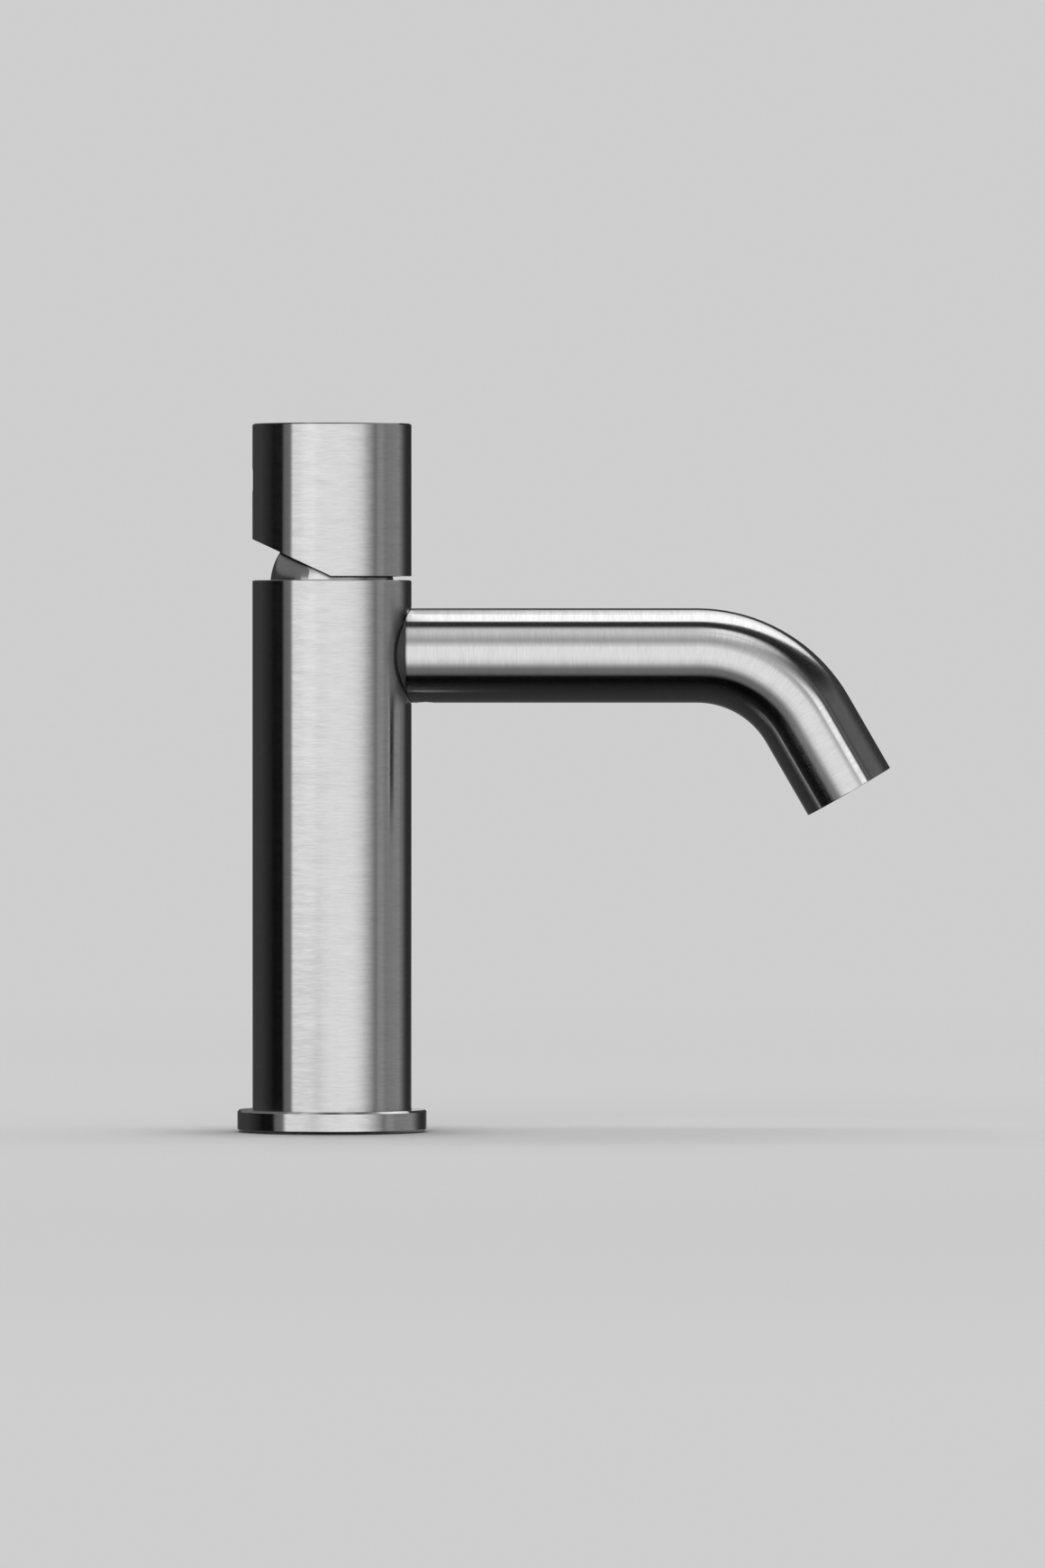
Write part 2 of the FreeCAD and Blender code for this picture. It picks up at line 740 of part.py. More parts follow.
def make_spout_tube():
    """The bent tube, from the spot face on the column to its plain cut end."""
    tube = new_body("spout_tube", ("0", "0", SPOUT_Z))
    section = circles_on(
        tube,
        "tube_section",
        [("0", "0", SPOUT_RADIUS), ("0", "0", TUBE_BORE_RADIUS)],
        "YZ_Plane",
        SEAT_X,
    )
    bend_start = "(" + CORNER_X + " - " + BEND_TANGENT + ")"
    bend_end_x = "(" + CORNER_X + " + " + BEND_TANGENT + " * cos(sizes.spout_bend_angle))"
    bend_end_z = "(-" + BEND_TANGENT + " * sin(sizes.spout_bend_angle))"
    path = outline(
        sketch_on(tube, "tube_path", "XZ_Plane"),
        [
            (SEAT_X, "0"),
            (bend_start, "0", (bend_start, "-sizes.spout_bend_radius"), False),
            (bend_end_x, bend_end_z),
            (size("spout_reach"), "-" + OUTLET_DROP),
        ],
        closed=False,
    )
    pipe = tube.newObject("PartDesign::AdditivePipe", "bent_tube")
    pipe.Profile = section
    pipe.Spine = path
    outlet = FreeCAD.Vector(value(size("spout_reach")), 0, -value(OUTLET_DROP))
    seat = FreeCAD.Vector(value(SEAT_X), 0, 0)

    def is_outer_rim(edge):
        if not isinstance(edge.Curve, Part.Circle):
            return False
        is_outer = abs(edge.Curve.Radius - value(SPOUT_RADIUS)) < SAME_PLACE
        return is_outer and any((edge.Curve.Center - end).Length < SAME_PLACE for end in (outlet, seat))

    round_edges(tube, "tube_end_rounds", pipe, is_outer_rim, size("spout_edge_round"))
    screw_x = "(" + SEAT_X + " + sizes.spout_screw_place)"
    screw_hole = circles_on(
        tube,
        "spout_screw_circle",
        [(screw_x, "0", "(sizes.spout_screw_diameter / 2 + sizes.fixed_fit)")],
        lift="-" + SPOUT_RADIUS,
    )
    pocket(tube, "spout_screw_hole", screw_hole, "sizes.spout_wall + " + OVERSHOOT, forwards=True)
    return tube


def make_spout_nipple():
    """The hollow nipple through the column wall. Its grooves take two rings and the screw's tip."""
    nipple = new_body("spout_nipple", ("0", "0", SPOUT_Z), Y_AXIS, "90")
    bore = half("nipple_bore")
    shank = half("nipple_shank")
    end = "(" + SEAT_X + " + sizes.nipple_length)"
    screw_groove = "(" + SEAT_X + " + sizes.spout_screw_place)"
    screw_half = "(sizes.spout_screw_diameter / 2 + sizes.running_gap)"
    corners = [
        (bore, BORE_RADIUS),
        (shank, BORE_RADIUS),
        (shank, SEAT_X),
        (NIPPLE_RADIUS, SEAT_X),
        (NIPPLE_RADIUS, screw_groove + " - " + screw_half),
        (NIPPLE_GROOVE_RADIUS, screw_groove + " - " + screw_half),
        (NIPPLE_GROOVE_RADIUS, screw_groove + " + " + screw_half),
        (NIPPLE_RADIUS, screw_groove + " + " + screw_half),
    ]
    for number in range(2):
        start = SEAT_X + " + sizes.nipple_groove_start + sizes.nipple_groove_pitch * " + str(number)
        corners.append((NIPPLE_RADIUS, start))
        corners.append((NIPPLE_GROOVE_RADIUS, start))
        corners.append((NIPPLE_GROOVE_RADIUS, start + " + sizes.nipple_groove_width"))
        corners.append((NIPPLE_RADIUS, start + " + sizes.nipple_groove_width"))
    corners.append((NIPPLE_RADIUS, end))
    corners.append((bore, end))
    revolve(nipple, "nipple_blank", corners)
    return nipple


def make_saddle_seal():
    """The rubber ring between tube and column. It follows the spot face and the column's round side."""
    seal = new_body("saddle_seal", ("0", "0", SPOUT_Z))
    outer = "(" + SPOUT_RADIUS + " - sizes.saddle_seal_inset)"
    hole = "(sizes.nipple_shank / 2 + sizes.fixed_fit)"
    ring = circles_on(
        seal, "saddle_seal_section", [("0", "0", outer), ("0", "0", hole)], "YZ_Plane", SEAT_X
    )
    pad(seal, "saddle_seal_ring", ring, "(" + SEAT_X + " - " + COLUMN_RADIUS + " / 2)", backwards=True)
    curve = "(" + COLUMN_RADIUS + " + sizes.running_fit)"
    inside = "(" + COLUMN_RADIUS + " / 3)"
    inner_y = "sqrt(" + curve + " ^ 2 - " + inside + " ^ 2)"
    face_y = "sqrt(" + curve + " ^ 2 - " + SPOT_FACE_X + " ^ 2)"
    saddle = outline_on(
        seal,
        "saddle_outline",
        [
            (inside, "-" + inner_y, ("0", "0"), True),
            (SPOT_FACE_X, "-" + face_y),
            (SPOT_FACE_X, face_y, ("0", "0"), True),
            (inside, inner_y),
        ],
    )
    pocket(seal, "saddle_cut", saddle, "2 * " + outer, both_ways=True)
    return seal


def make_spout_o_rings():
    """The two rings between the nipple and the tube."""
    rings = []
    radius = "(" + TUBE_BORE_RADIUS + " - (sizes.nipple_groove_depth + sizes.fixed_fit) / 2)"
    for number in range(2):
        start = SEAT_X + " + sizes.nipple_groove_start + sizes.nipple_groove_pitch * " + str(number)
        place_x = start + " + sizes.nipple_groove_width / 2"
        ring = o_ring(
            "spout_o_ring_" + str(number + 1),
            SPOUT_Z,
            radius,
            half("nipple_ring_section"),
            place_x,
            Y_AXIS,
            "90",
        )
        rings.append(ring)
    return group_solids("spout_o_rings", rings)


def make_spout_grub_screw():
    """The screw that locks the tube from below. It points up, with its socket at the bottom."""
    tip_z = "(" + SPOUT_Z + " - " + NIPPLE_GROOVE_RADIUS + " - sizes.thread_fit)"
    tip = (SEAT_X + " + sizes.spout_screw_place", "0", tip_z)
    radius = half("spout_screw_diameter")
    return grub_screw("spout_grub_screw", radius, size("spout_screw_length"), tip, "down")


# Outlet: each piece stands up the tube from its cut end

OUTLET_PLACE = (size("spout_reach"), "0", OUTLET_Z)
COLLAR_BOTTOM = size("collar_recess")
COLLAR_TOP = "(" + COLLAR_BOTTOM + " + sizes.collar_length)"
AERATOR_RADIUS = "(sizes.collar_bore / 2 - sizes.fixed_fit)"
AERATOR_TOP = "(sizes.outlet_recess + sizes.aerator_length)"
AERATOR_BORE_RADIUS = "(" + AERATOR_RADIUS + " - sizes.aerator_wall)"
INSERT_RADIUS = "(" + AERATOR_BORE_RADIUS + " - sizes.fixed_fit)"
MESH_BOTTOM = "(sizes.outlet_recess + sizes.aerator_rim)"
MESH_TOP = "(" + MESH_BOTTOM + " + sizes.mesh_thickness)"


def outlet_body(label):
    """A body that stands on the cut end of the spout and points up the tube."""
    return new_body(label, OUTLET_PLACE, Y_AXIS, OUTLET_TURN)


def make_outlet_collar():
    """The threaded collar in the tube's end, with a lip above the aerator."""
    collar = outlet_body("outlet_collar")
    bore = half("collar_bore")
    lip_bore = half("collar_lip_bore")
    lip_bottom = "(" + COLLAR_TOP + " - sizes.collar_lip)"
    revolve(
        collar,
        "collar_blank",
        [
            (bore, COLLAR_BOTTOM),
            (NIPPLE_RADIUS, COLLAR_BOTTOM),
            (NIPPLE_RADIUS, COLLAR_TOP),
            (lip_bore, COLLAR_TOP),
            (lip_bore, lip_bottom),
            (bore, lip_bottom),
        ],
    )
    return collar


def make_aerator_housing():
    """The aerator's outer ring, with the rim that holds the screen."""
    housing = outlet_body("aerator_housing")
    rim_bore = half("aerator_rim_bore")
    revolve(
        housing,
        "aerator_shell",
        [
            (rim_bore, size("outlet_recess")),
            (AERATOR_RADIUS, size("outlet_recess")),
            (AERATOR_RADIUS, AERATOR_TOP),
            (AERATOR_BORE_RADIUS, AERATOR_TOP),
            (AERATOR_BORE_RADIUS, MESH_BOTTOM),
            (rim_bore, MESH_BOTTOM),
        ],
    )
    return housing


def make_aerator_mesh():
    """The outlet screen: one middle hole and rings of six and twelve round it."""
    mesh = outlet_body("aerator_mesh")
    blank = circles_on(mesh, "mesh_circle", [("0", "0", INSERT_RADIUS)], lift=MESH_BOTTOM)
    pad(mesh, "mesh_blank", blank, size("mesh_thickness"))
    hole = half("mesh_hole")
    circles = [("0", "0", hole)]
    for ring, copies in ((1, 6), (2, 12)):
        for number in range(copies):
            angle = str(360 * number / copies)
            reach = "sizes.mesh_pitch * " + str(ring)
            circles.append((reach + " * cos(" + angle + ")", reach + " * sin(" + angle + ")", hole))
    holes = circles_on(mesh, "mesh_hole_circles", circles, lift=MESH_TOP)
    pocket(mesh, "mesh_holes", holes, size("mesh_thickness"))
    return mesh


def make_aerator_core():
    """The diffuser between the screen and the washer, with a ring of jets."""
    core = outlet_body("aerator_core")
    blank = circles_on(core, "core_circle", [("0", "0", INSERT_RADIUS)], lift=MESH_TOP)
    height = "(" + AERATOR_TOP + " - " + MESH_TOP + ")"
    pad(core, "core_blank", blank, height)
    jet_circle = circles_on(
        core, "jet_circle", [(half("core_hole_circle"), "0", half("core_hole"))], lift=AERATOR_TOP
    )
    jet = pocket(core, "jet", jet_circle, height)
    polar_pattern(core, "jets", jet, size("core_holes"))
    return core


def make_aerator_washer():
    """The flat rubber washer between the aerator and the collar's lip."""
    washer = outlet_body("aerator_washer")
    lip_bottom = "(" + COLLAR_TOP + " - sizes.collar_lip)"
    revolve(washer, "washer_ring", rectangle(half("washer_bore"), AERATOR_RADIUS, AERATOR_TOP, lip_bottom))
    return washer


# Cartridge, standing pieces


def inlet_ports(radius):
    """The two inlet circles of the cartridge's foot."""
    port_y = half("inlet_port_spacing")
    return [(size("inlet_port_offset"), sign + port_y, radius) for sign in ("", "-")]


def make_cartridge_base():
    """The cartridge's foot: a rim under the housing, three ports with seal seats, and two pegs."""
    base = new_body("cartridge_base", ("0", "0", POCKET_FLOOR))
    revolve(
        base,
        "foot_blank",
        [
            ("0", "0"),
            (CARTRIDGE_RADIUS, "0"),
            (CARTRIDGE_RADIUS, size("base_rim_thickness")),
            (DISC_SEAT_RADIUS, size("base_rim_thickness")),
            (DISC_SEAT_RADIUS, size("cartridge_base_thickness")),
            ("0", size("cartridge_base_thickness")),
        ],
    )
    outlet = ("-sizes.outlet_port_offset", "0", half("outlet_port_bore"))
    ports = circles_on(
        base,
        "port_circles",
        inlet_ports(half("passage_bore")) + [outlet],
        lift=size("cartridge_base_thickness"),
    )
    pocket(base, "ports", ports, size("cartridge_base_thickness"))
    seat_room = " + sizes.port_seal_width + sizes.fixed_fit)"
    inlet_seat = "(sizes.passage_bore / 2" + seat_room
    outlet_seat = ("-sizes.outlet_port_offset", "0", "(sizes.outlet_port_bore / 2" + seat_room)
    seats = circles_on(base, "seal_seat_circles", inlet_ports(inlet_seat) + [outlet_seat])
    pocket(base, "seal_seats", seats, size("port_seal_thickness"), forwards=True)
    pegs = circles_on(
        base,
        "peg_circles",
        [("-sizes.peg_offset", sign + half("peg_spacing"), half("peg_diameter")) for sign in ("", "-")],
    )
    pad(base, "pegs", pegs, size("peg_length"), backwards=True)
    return base


def make_cartridge_port_seals():
    """Three flat rings between the cartridge's foot and the floor of the pocket."""
    rings = []
    places = [
        ("hot", size("inlet_port_offset"), "-" + half("inlet_port_spacing"), "passage_bore"),
        ("cold", size("inlet_port_offset"), half("inlet_port_spacing"), "passage_bore"),
        ("outlet", "-sizes.outlet_port_offset", "0", "outlet_port_bore"),
    ]
    for name, x, y, bore in places:
        outer = "sizes." + bore + " / 2 + sizes.port_seal_width"
        place = (x, y, POCKET_FLOOR)
        disc = solid(
            "Part::Cylinder",
            name + "_seal_blank",
            place,
            Radius=outer,
            Height=size("port_seal_thickness"),
        )
        hole = solid(
            "Part::Cylinder",
            name + "_seal_hole",
            place,
            Radius=half(bore),
            Height=size("port_seal_thickness"),
        )
        rings.append(cut_away(name + "_seal", disc, hole))
    return group_solids("cartridge_port_seals", rings)


def make_cartridge_housing():
    """The cartridge's body and neck. Its top wall keeps the carrier down."""
    housing = new_body("cartridge_housing")
    neck_radius = half("neck_diameter")
    neck_bore_radius = half("neck_bore")
    revolve(
        housing,
        "housing_shell",
        [
            (CAVITY_RADIUS, HOUSING_BOTTOM),
            (CARTRIDGE_RADIUS, HOUSING_BOTTOM),
            (CARTRIDGE_RADIUS, HOUSING_SHOULDER),
            (neck_radius, HOUSING_SHOULDER),
            (neck_radius, NECK_TOP),
            (neck_bore_radius, NECK_TOP),
            (neck_bore_radius, HOUSING_CEILING),
            (CAVITY_RADIUS, HOUSING_CEILING),
        ],
    )
    return housing


def polar_point(radius, angle, side):
    """A point of a ring slot. The side is 1 above the X axis and -1 below it."""
    u = radius + " * cos(" + angle + ")"
    v = str(side) + " * " + radius + " * sin(" + angle + ")"
    return (u, v)


def make_fixed_disc():
    """The standing ceramic disc: two curved inlet slots and a round outlet."""
    disc = new_body("fixed_disc", ("0", "0", FIXED_DISC_BOTTOM))
    blank = circles_on(disc, "fixed_disc_circle", [("0", "0", DISC_SEAT_RADIUS)])
    pad(disc, "fixed_disc_blank", blank, size("fixed_disc_thickness"))
    ports = sketch_on(disc, "fixed_disc_ports", lift=size("fixed_disc_thickness"))
    inner = size("slot_inner_radius")
    outer = size("slot_outer_radius")
    first = size("slot_first_angle")
    last = size("slot_last_angle")
    centre = ("0", "0")
    for side in (1, -1):
        upper = side > 0
        outline(
            ports,
            [
                polar_point(inner, first, side),
                polar_point(outer, first, side) + (centre, upper),
                polar_point(outer, last, side),
                polar_point(inner, last, side) + (centre, not upper),
            ],
        )
    add_circle(ports, "-sizes.outlet_port_offset", "0", half("outlet_port_bore"))
    pocket(disc, "disc_ports", ports, size("fixed_disc_thickness"))
    return disc


def make_cartridge_nut():
    """The ring nut: thread in the block, lip over the cartridge's shoulder, notches for a spanner."""
    nut = new_body("cartridge_nut")
    inner = "(" + CARTRIDGE_RADIUS + " + sizes.fixed_fit)"
    lip = "(sizes.neck_diameter / 2 + sizes.running_gap)"
    revolve(
        nut,
        "nut_blank",
        [
            (inner, RING_NUT_BOTTOM),
            (RING_NUT_RADIUS, RING_NUT_BOTTOM),
            (RING_NUT_RADIUS, RING_NUT_TOP),
            (lip, RING_NUT_TOP),
            (lip, HOUSING_SHOULDER),
            (inner, HOUSING_SHOULDER),
        ],
    )
    notch = outline_on(
        nut,
        "nut_notch_outline",
        rectangle(
            "(" + RING_NUT_RADIUS + " - sizes.notch_depth)",
            "(" + RING_NUT_RADIUS + " + " + OVERSHOOT + ")",
            "-sizes.notch_width / 2",
            "sizes.notch_width / 2",
        ),
        lift=RING_NUT_TOP,
    )
    first_notch = pocket(nut, "nut_notch", notch, size("ring_nut_lip"))
    polar_pattern(nut, "nut_notches", first_notch, size("ring_nut_notches"))
    return nut


def make_dome_cover():
    """The domed cover: a skirt inside the column's rim and a ball-shaped top round the tilt axis."""
    dome = new_body("dome_cover")
    hole = half("dome_hole")
    outer_top = PIVOT + " + sqrt(" + DOME_RADIUS + " ^ 2 - " + hole + " ^ 2)"
    inner_top = PIVOT + " + sqrt(" + DOME_INNER_RADIUS + " ^ 2 - " + hole + " ^ 2)"
    centre = ("0", PIVOT)
    revolve(
        dome,
        "dome_shell",
        [
            (DOME_INNER_RADIUS, SHOULDER),
            (DOME_RADIUS, SHOULDER),
            (DOME_RADIUS, PIVOT, centre, True),
            (hole, outer_top),
            (hole, inner_top, centre, False),
            (DOME_INNER_RADIUS, PIVOT),
        ],
    )
    return dome


# Cartridge, moving pieces


def make_turn_carrier():
    """The neck that turns: a flange with a ring groove, two cheeks down beside the slide, a lever slot."""
    carrier = new_body("turn_carrier")
    neck_radius = "(sizes.neck_bore / 2 - sizes.running_fit)"
    groove_radius = "(" + TURN_RADIUS + " - sizes.turn_groove_depth)"
    groove_middle = "((" + TURN_FLANGE_BOTTOM + " + " + TURN_FLANGE_TOP + ") / 2)"
    groove_bottom = groove_middle + " - sizes.turn_groove_width / 2"
    groove_top = groove_middle + " + sizes.turn_groove_width / 2"
    revolve(
        carrier,
        "carrier_blank",
        [
            ("0", TURN_FLANGE_BOTTOM),
            (TURN_RADIUS, TURN_FLANGE_BOTTOM),
            (TURN_RADIUS, groove_bottom),
            (groove_radius, groove_bottom),
            (groove_radius, groove_top),
            (TURN_RADIUS, groove_top),
            (TURN_RADIUS, TURN_FLANGE_TOP),
            (neck_radius, TURN_FLANGE_TOP),
            (neck_radius, NECK_TOP),
            ("0", NECK_TOP),
        ],
    )
    near = "(sizes.carrier_half_width + sizes.running_gap)"
    reach = "sqrt(" + TURN_RADIUS + " ^ 2 - " + near + " ^ 2)"
    cheeks = sketch_on(carrier, "cheek_outlines", lift=TURN_FLANGE_BOTTOM)
    centre = ("0", "0")
    outline(cheeks, [("-" + reach, near), (reach, near, centre, True)])
    outline(cheeks, [(reach, "-" + near), ("-" + reach, "-" + near, centre, True)])
    depth = "(" + TURN_FLANGE_BOTTOM + " - " + CARRIER_BOTTOM + " - sizes.running_gap)"
    pad(carrier, "cheeks", cheeks, depth, backwards=True)
    half_slot = "(sizes.pivot_block / 2 + sizes.running_gap)"
    slot = outline_on(
        carrier,
        "lever_slot_outline",
        rectangle("-sizes.turn_slot_back", size("turn_slot_front"), "-" + half_slot, half_slot),
        lift=NECK_TOP,
    )
    pocket(carrier, "lever_slot", slot, NECK_TOP + " - " + TURN_FLANGE_BOTTOM)
    pin_radius = "(sizes.pin_diameter / 2 + sizes.pin_fit)"
    pin = circles_on(carrier, "pin_hole_circle", [("0", PIVOT, pin_radius)], "XZ_Plane")
    pocket(carrier, "pin_hole", pin, size("neck_bore"), both_ways=True)
    return carrier


def make_carrier_o_ring():
    """The ring in the carrier's flange."""
    middle = "(" + TURN_FLANGE_BOTTOM + " + " + TURN_FLANGE_TOP + ") / 2"
    radius = TURN_RADIUS + " - sizes.turn_groove_depth / 2"
    ring = o_ring("carrier_o_ring", middle, radius, half("turn_ring_section"))
    ring.Label = "carrier_o_ring"
    return ring


def make_lever_pin():
    """The cross pin of the lever."""
    pin = solid(
        "Part::Cylinder",
        "lever_pin",
        ("0", "-sizes.pin_length / 2", PIVOT),
        X_AXIS,
        "-90",
        Radius=half("pin_diameter"),
        Height=size("pin_length"),
    )
    pin.Label = "lever_pin"
    return pin


def make_disc_carrier():
    """The slide on the moving disc: flat sides, a pocket for the lever's ball and two lugs."""
    carrier = new_body("disc_carrier", (DISC_X, "0", CARRIER_BOTTOM))
    side = size("carrier_half_width")
    reach = "sqrt(" + MOVING_DISC_RADIUS + " ^ 2 - " + side + " ^ 2)"
    centre = ("0", "0")
    blank = outline_on(
        carrier,
        "slide_outline",
        [
            ("-" + reach, "-" + side),
            (reach, "-" + side, centre, True),
            (reach, side),
            ("-" + reach, side, centre, True),
        ],
    )
    height = "(" + CARRIER_TOP + " - " + CARRIER_BOTTOM + ")"
    pad(carrier, "slide_blank", blank, height)
    ball_circle = circles_on(
        carrier,
        "ball_pocket_circle",
        [("-" + DISC_X, "0", BALL_RADIUS + " + sizes.running_gap")],
        lift=height,
    )
    pocket(carrier, "ball_pocket", ball_circle, CARRIER_TOP + " - " + BALL_FLOOR)
    lugs = sketch_on(carrier, "lug_outlines")
    inner = "(" + MOVING_DISC_RADIUS + " - sizes.disc_lug_depth)"
    half_lug = "(sizes.disc_lug_width / 2 - sizes.fixed_fit)"
    tip = "sqrt(" + MOVING_DISC_RADIUS + " ^ 2 - " + half_lug + " ^ 2)"
    outline(
        lugs,
        [
            (inner, "-" + half_lug),
            (tip, "-" + half_lug, centre, True),
            (tip, half_lug),
            (inner, half_lug),
        ],
    )
    outline(
        lugs,
        [
            ("-" + inner, half_lug),
            ("-" + tip, half_lug, centre, True),
            ("-" + tip, "-" + half_lug),
            ("-" + inner, "-" + half_lug),
        ],
    )
    pad(carrier, "lugs", lugs, size("disc_lug_height"), backwards=True)
    return carrier


def make_moving_disc():
    """The sliding ceramic disc: a mixing recess below and two notches for the slide's lugs."""
    disc = new_body("moving_disc", (DISC_X, "0", MOVING_DISC_BOTTOM))
    blank = circles_on(disc, "moving_disc_circle", [("0", "0", MOVING_DISC_RADIUS)])
    pad(disc, "moving_disc_blank", blank, size("moving_disc_thickness"))
    recess = circles_on(
        disc, "recess_circle", [("-sizes.disc_recess_offset", "0", half("disc_recess"))]
    )
    pocket(disc, "mixing_recess", recess, size("disc_recess_depth"), forwards=True)
    notches = sketch_on(disc, "notch_outlines", lift=size("moving_disc_thickness"))
    inner = "(" + MOVING_DISC_RADIUS + " - sizes.disc_lug_depth - sizes.fixed_fit)"
    outer = "(" + MOVING_DISC_RADIUS + " + " + OVERSHOOT + ")"
    half_lug = half("disc_lug_width")
    outline(notches, rectangle(inner, outer, "-" + half_lug, half_lug))
    outline(notches, rectangle("-" + outer, "-" + inner, "-" + half_lug, half_lug))
    pocket(disc, "lug_notches", notches, "sizes.disc_lug_height + sizes.fixed_fit")
    return disc


# Handle


def make_handle():
    """The round handle, with its rear lower edge cut on the slant that lets it tip back."""
    handle = new_body("handle")
    revolve(
        handle,
        "handle_blank",
        [
            (HANDLE_BORE_RADIUS, HANDLE_BOTTOM),
            (COLUMN_RADIUS, HANDLE_BOTTOM),
            (COLUMN_RADIUS, "(" + HANDLE_TOP + " - sizes.handle_chamfer)"),
            ("(" + COLUMN_RADIUS + " - sizes.handle_chamfer)", HANDLE_TOP),
            ("0", HANDLE_TOP),
            ("0", HANDLE_CEILING),
            (HANDLE_BORE_RADIUS, HANDLE_CEILING),
        ],
    )
    behind = "(-" + COLUMN_RADIUS + " - " + OVERSHOOT + ")"
    rise = HANDLE_BOTTOM + " - " + behind + " * tan(sizes.tilt_angle)"
    wedge = outline_on(
        handle,
        "rear_cut_outline",
        [("0", HANDLE_BOTTOM), (behind, HANDLE_BOTTOM), (behind, rise)],
        "XZ_Plane",
    )
    pocket(handle, "rear_cut", wedge, "2 * " + COLUMN_RADIUS, both_ways=True)
    half_socket = "(sizes.stem_width / 2 + sizes.fixed_fit)"
    socket = outline_on(
        handle,
        "stem_socket_outline",
        rectangle("-" + half_socket, half_socket, "-" + half_socket, half_socket),
        lift=HANDLE_CEILING,
    )
    pocket(handle, "stem_socket", socket, size("socket_depth"), forwards=True)
    screw = circles_on(
        handle,
        "handle_screw_circle",
        [("0", HANDLE_SCREW_Z, "(sizes.handle_screw_diameter / 2 + sizes.fixed_fit)")],
        "YZ_Plane",
        "-" + COLUMN_RADIUS,
    )
    pocket(handle, "handle_screw_hole", screw, COLUMN_RADIUS, forwards=True)
    plug = circles_on(
        handle,
        "plug_circle",
        [("0", HANDLE_SCREW_Z, "(sizes.plug_diameter / 2 + sizes.fixed_fit)")],
        "YZ_Plane",
        "-" + COLUMN_RADIUS,
    )
    pocket(handle, "plug_seat", plug, "sizes.plug_thickness + sizes.plug_recess", forwards=True)
    return handle


def make_lever_spindle():
    """The lever: a ball, a slim arm, a pivot block with the pin hole and a square stem."""
    spindle = new_body("lever_spindle")
    arm = half("arm_diameter")
    block_bottom = "(" + PIVOT + " - sizes.pivot_block_drop)"
    block_top = "(" + PIVOT + " + sizes.stem_start)"
    arm_start = BALL + " + sqrt(" + BALL_RADIUS + " ^ 2 - " + arm + " ^ 2)"
    centre = ("0", BALL)
    revolve(
        spindle,
        "ball_and_arm",
        [
            ("0", BALL + " - " + BALL_RADIUS, centre, True),
            (arm, arm_start),
            (arm, block_bottom),
            ("0", block_bottom),
        ],
    )
    half_block = half("pivot_block")
    block = outline_on(
        spindle,
        "pivot_block_outline",
        rectangle("-" + half_block, half_block, "-" + half_block, half_block),
        lift=block_bottom,
    )
    pad(spindle, "pivot_block", block, block_top + " - " + block_bottom)
    half_stem = half("stem_width")
    stem = outline_on(
        spindle,
        "stem_outline",
        rectangle("-" + half_stem, half_stem, "-" + half_stem, half_stem),
        lift=block_top,
    )
    pad(spindle, "stem", stem, STEM_TOP + " - " + block_top)
    pin_radius = "(sizes.pin_diameter / 2 + sizes.running_fit)"
    pin = circles_on(spindle, "pin_bore_circle", [("0", PIVOT, pin_radius)], "XZ_Plane")
    pocket(spindle, "pin_bore", pin, "sizes.pivot_block + 2 * " + OVERSHOOT, both_ways=True)
    return spindle


def make_handle_grub_screw():
    """The screw that clamps the handle to the stem. Its socket is at the rear."""
    tip = ("-sizes.stem_width / 2", "0", HANDLE_SCREW_Z)
    radius = half("handle_screw_diameter")
    return grub_screw("handle_grub_screw", radius, size("handle_screw_length"), tip, "back")


def make_handle_plug():
    """The small plug at the rear of the handle. Its outer face follows the handle's side."""
    pin = solid(
        "Part::Cylinder",
        "plug_pin",
        ("-" + COLUMN_RADIUS + " + sizes.plug_recess + sizes.plug_thickness", "0", HANDLE_SCREW_Z),
        Y_AXIS,
        "-90",
        Radius=half("plug_diameter"),
        Height="sizes.plug_thickness + " + OVERSHOOT,
    )
    side = solid(
        "Part::Cylinder",
        "plug_side",
        ("0", "0", HANDLE_BOTTOM),
        Radius=COLUMN_RADIUS + " - sizes.plug_recess",
        Height=size("handle_length"),
    )
    plug = doc.addObject("Part::Common", "handle_plug")
    plug.Base = pin
    plug.Tool = side
    plug.Label = "handle_plug"
    return plug


# Fixing below the deck


def make_fixing_stud():
    """The threaded rod in the foot plate, with a driver slot in its lower end."""
    rod = solid(
        "Part::Cylinder",
        "stud_rod",
        (STUD_X, "0", "-sizes.stud_reach_down"),
        Radius=half("stud_diameter"),
        Height="sizes.stud_reach_down + sizes.stud_reach_up",
    )
    slot = solid(
        "Part::Box",
        "stud_slot",
        (
            STUD_X + " - sizes.stud_diameter / 2",
            "-sizes.stud_slot_width / 2",
            "-sizes.stud_reach_down",
        ),
        Length=size("stud_diameter"),
        Width=size("stud_slot_width"),
        Height=size("stud_slot_depth"),
    )
    return cut_away("fixing_stud", rod, slot)


def make_horseshoe(label, top, thickness):
    """A horseshoe plate: open towards +X for the hoses, with the stud's hole at its back."""
    plate = new_body(label, ("0", "0", top))
    radius = half("horseshoe_diameter")
    mouth = half("horseshoe_slot")
    tip = "sqrt(" + radius + " ^ 2 - " + mouth + " ^ 2)"
    slot_x = size("horseshoe_slot_offset")
    shape = outline_on(
        plate,
        label + "_outline",
        [
            (tip, mouth),
            (slot_x, mouth, (slot_x, "0"), True),
            (slot_x, "-" + mouth),
            (tip, "-" + mouth, ("0", "0"), False),
        ],
    )
    pad(plate, label + "_plate", shape, thickness, backwards=True)
    hole = circles_on(plate, label + "_hole_circle", [(STUD_X, "0", half("washer_hole"))])
    pocket(plate, label + "_hole", hole, thickness)
    return plate


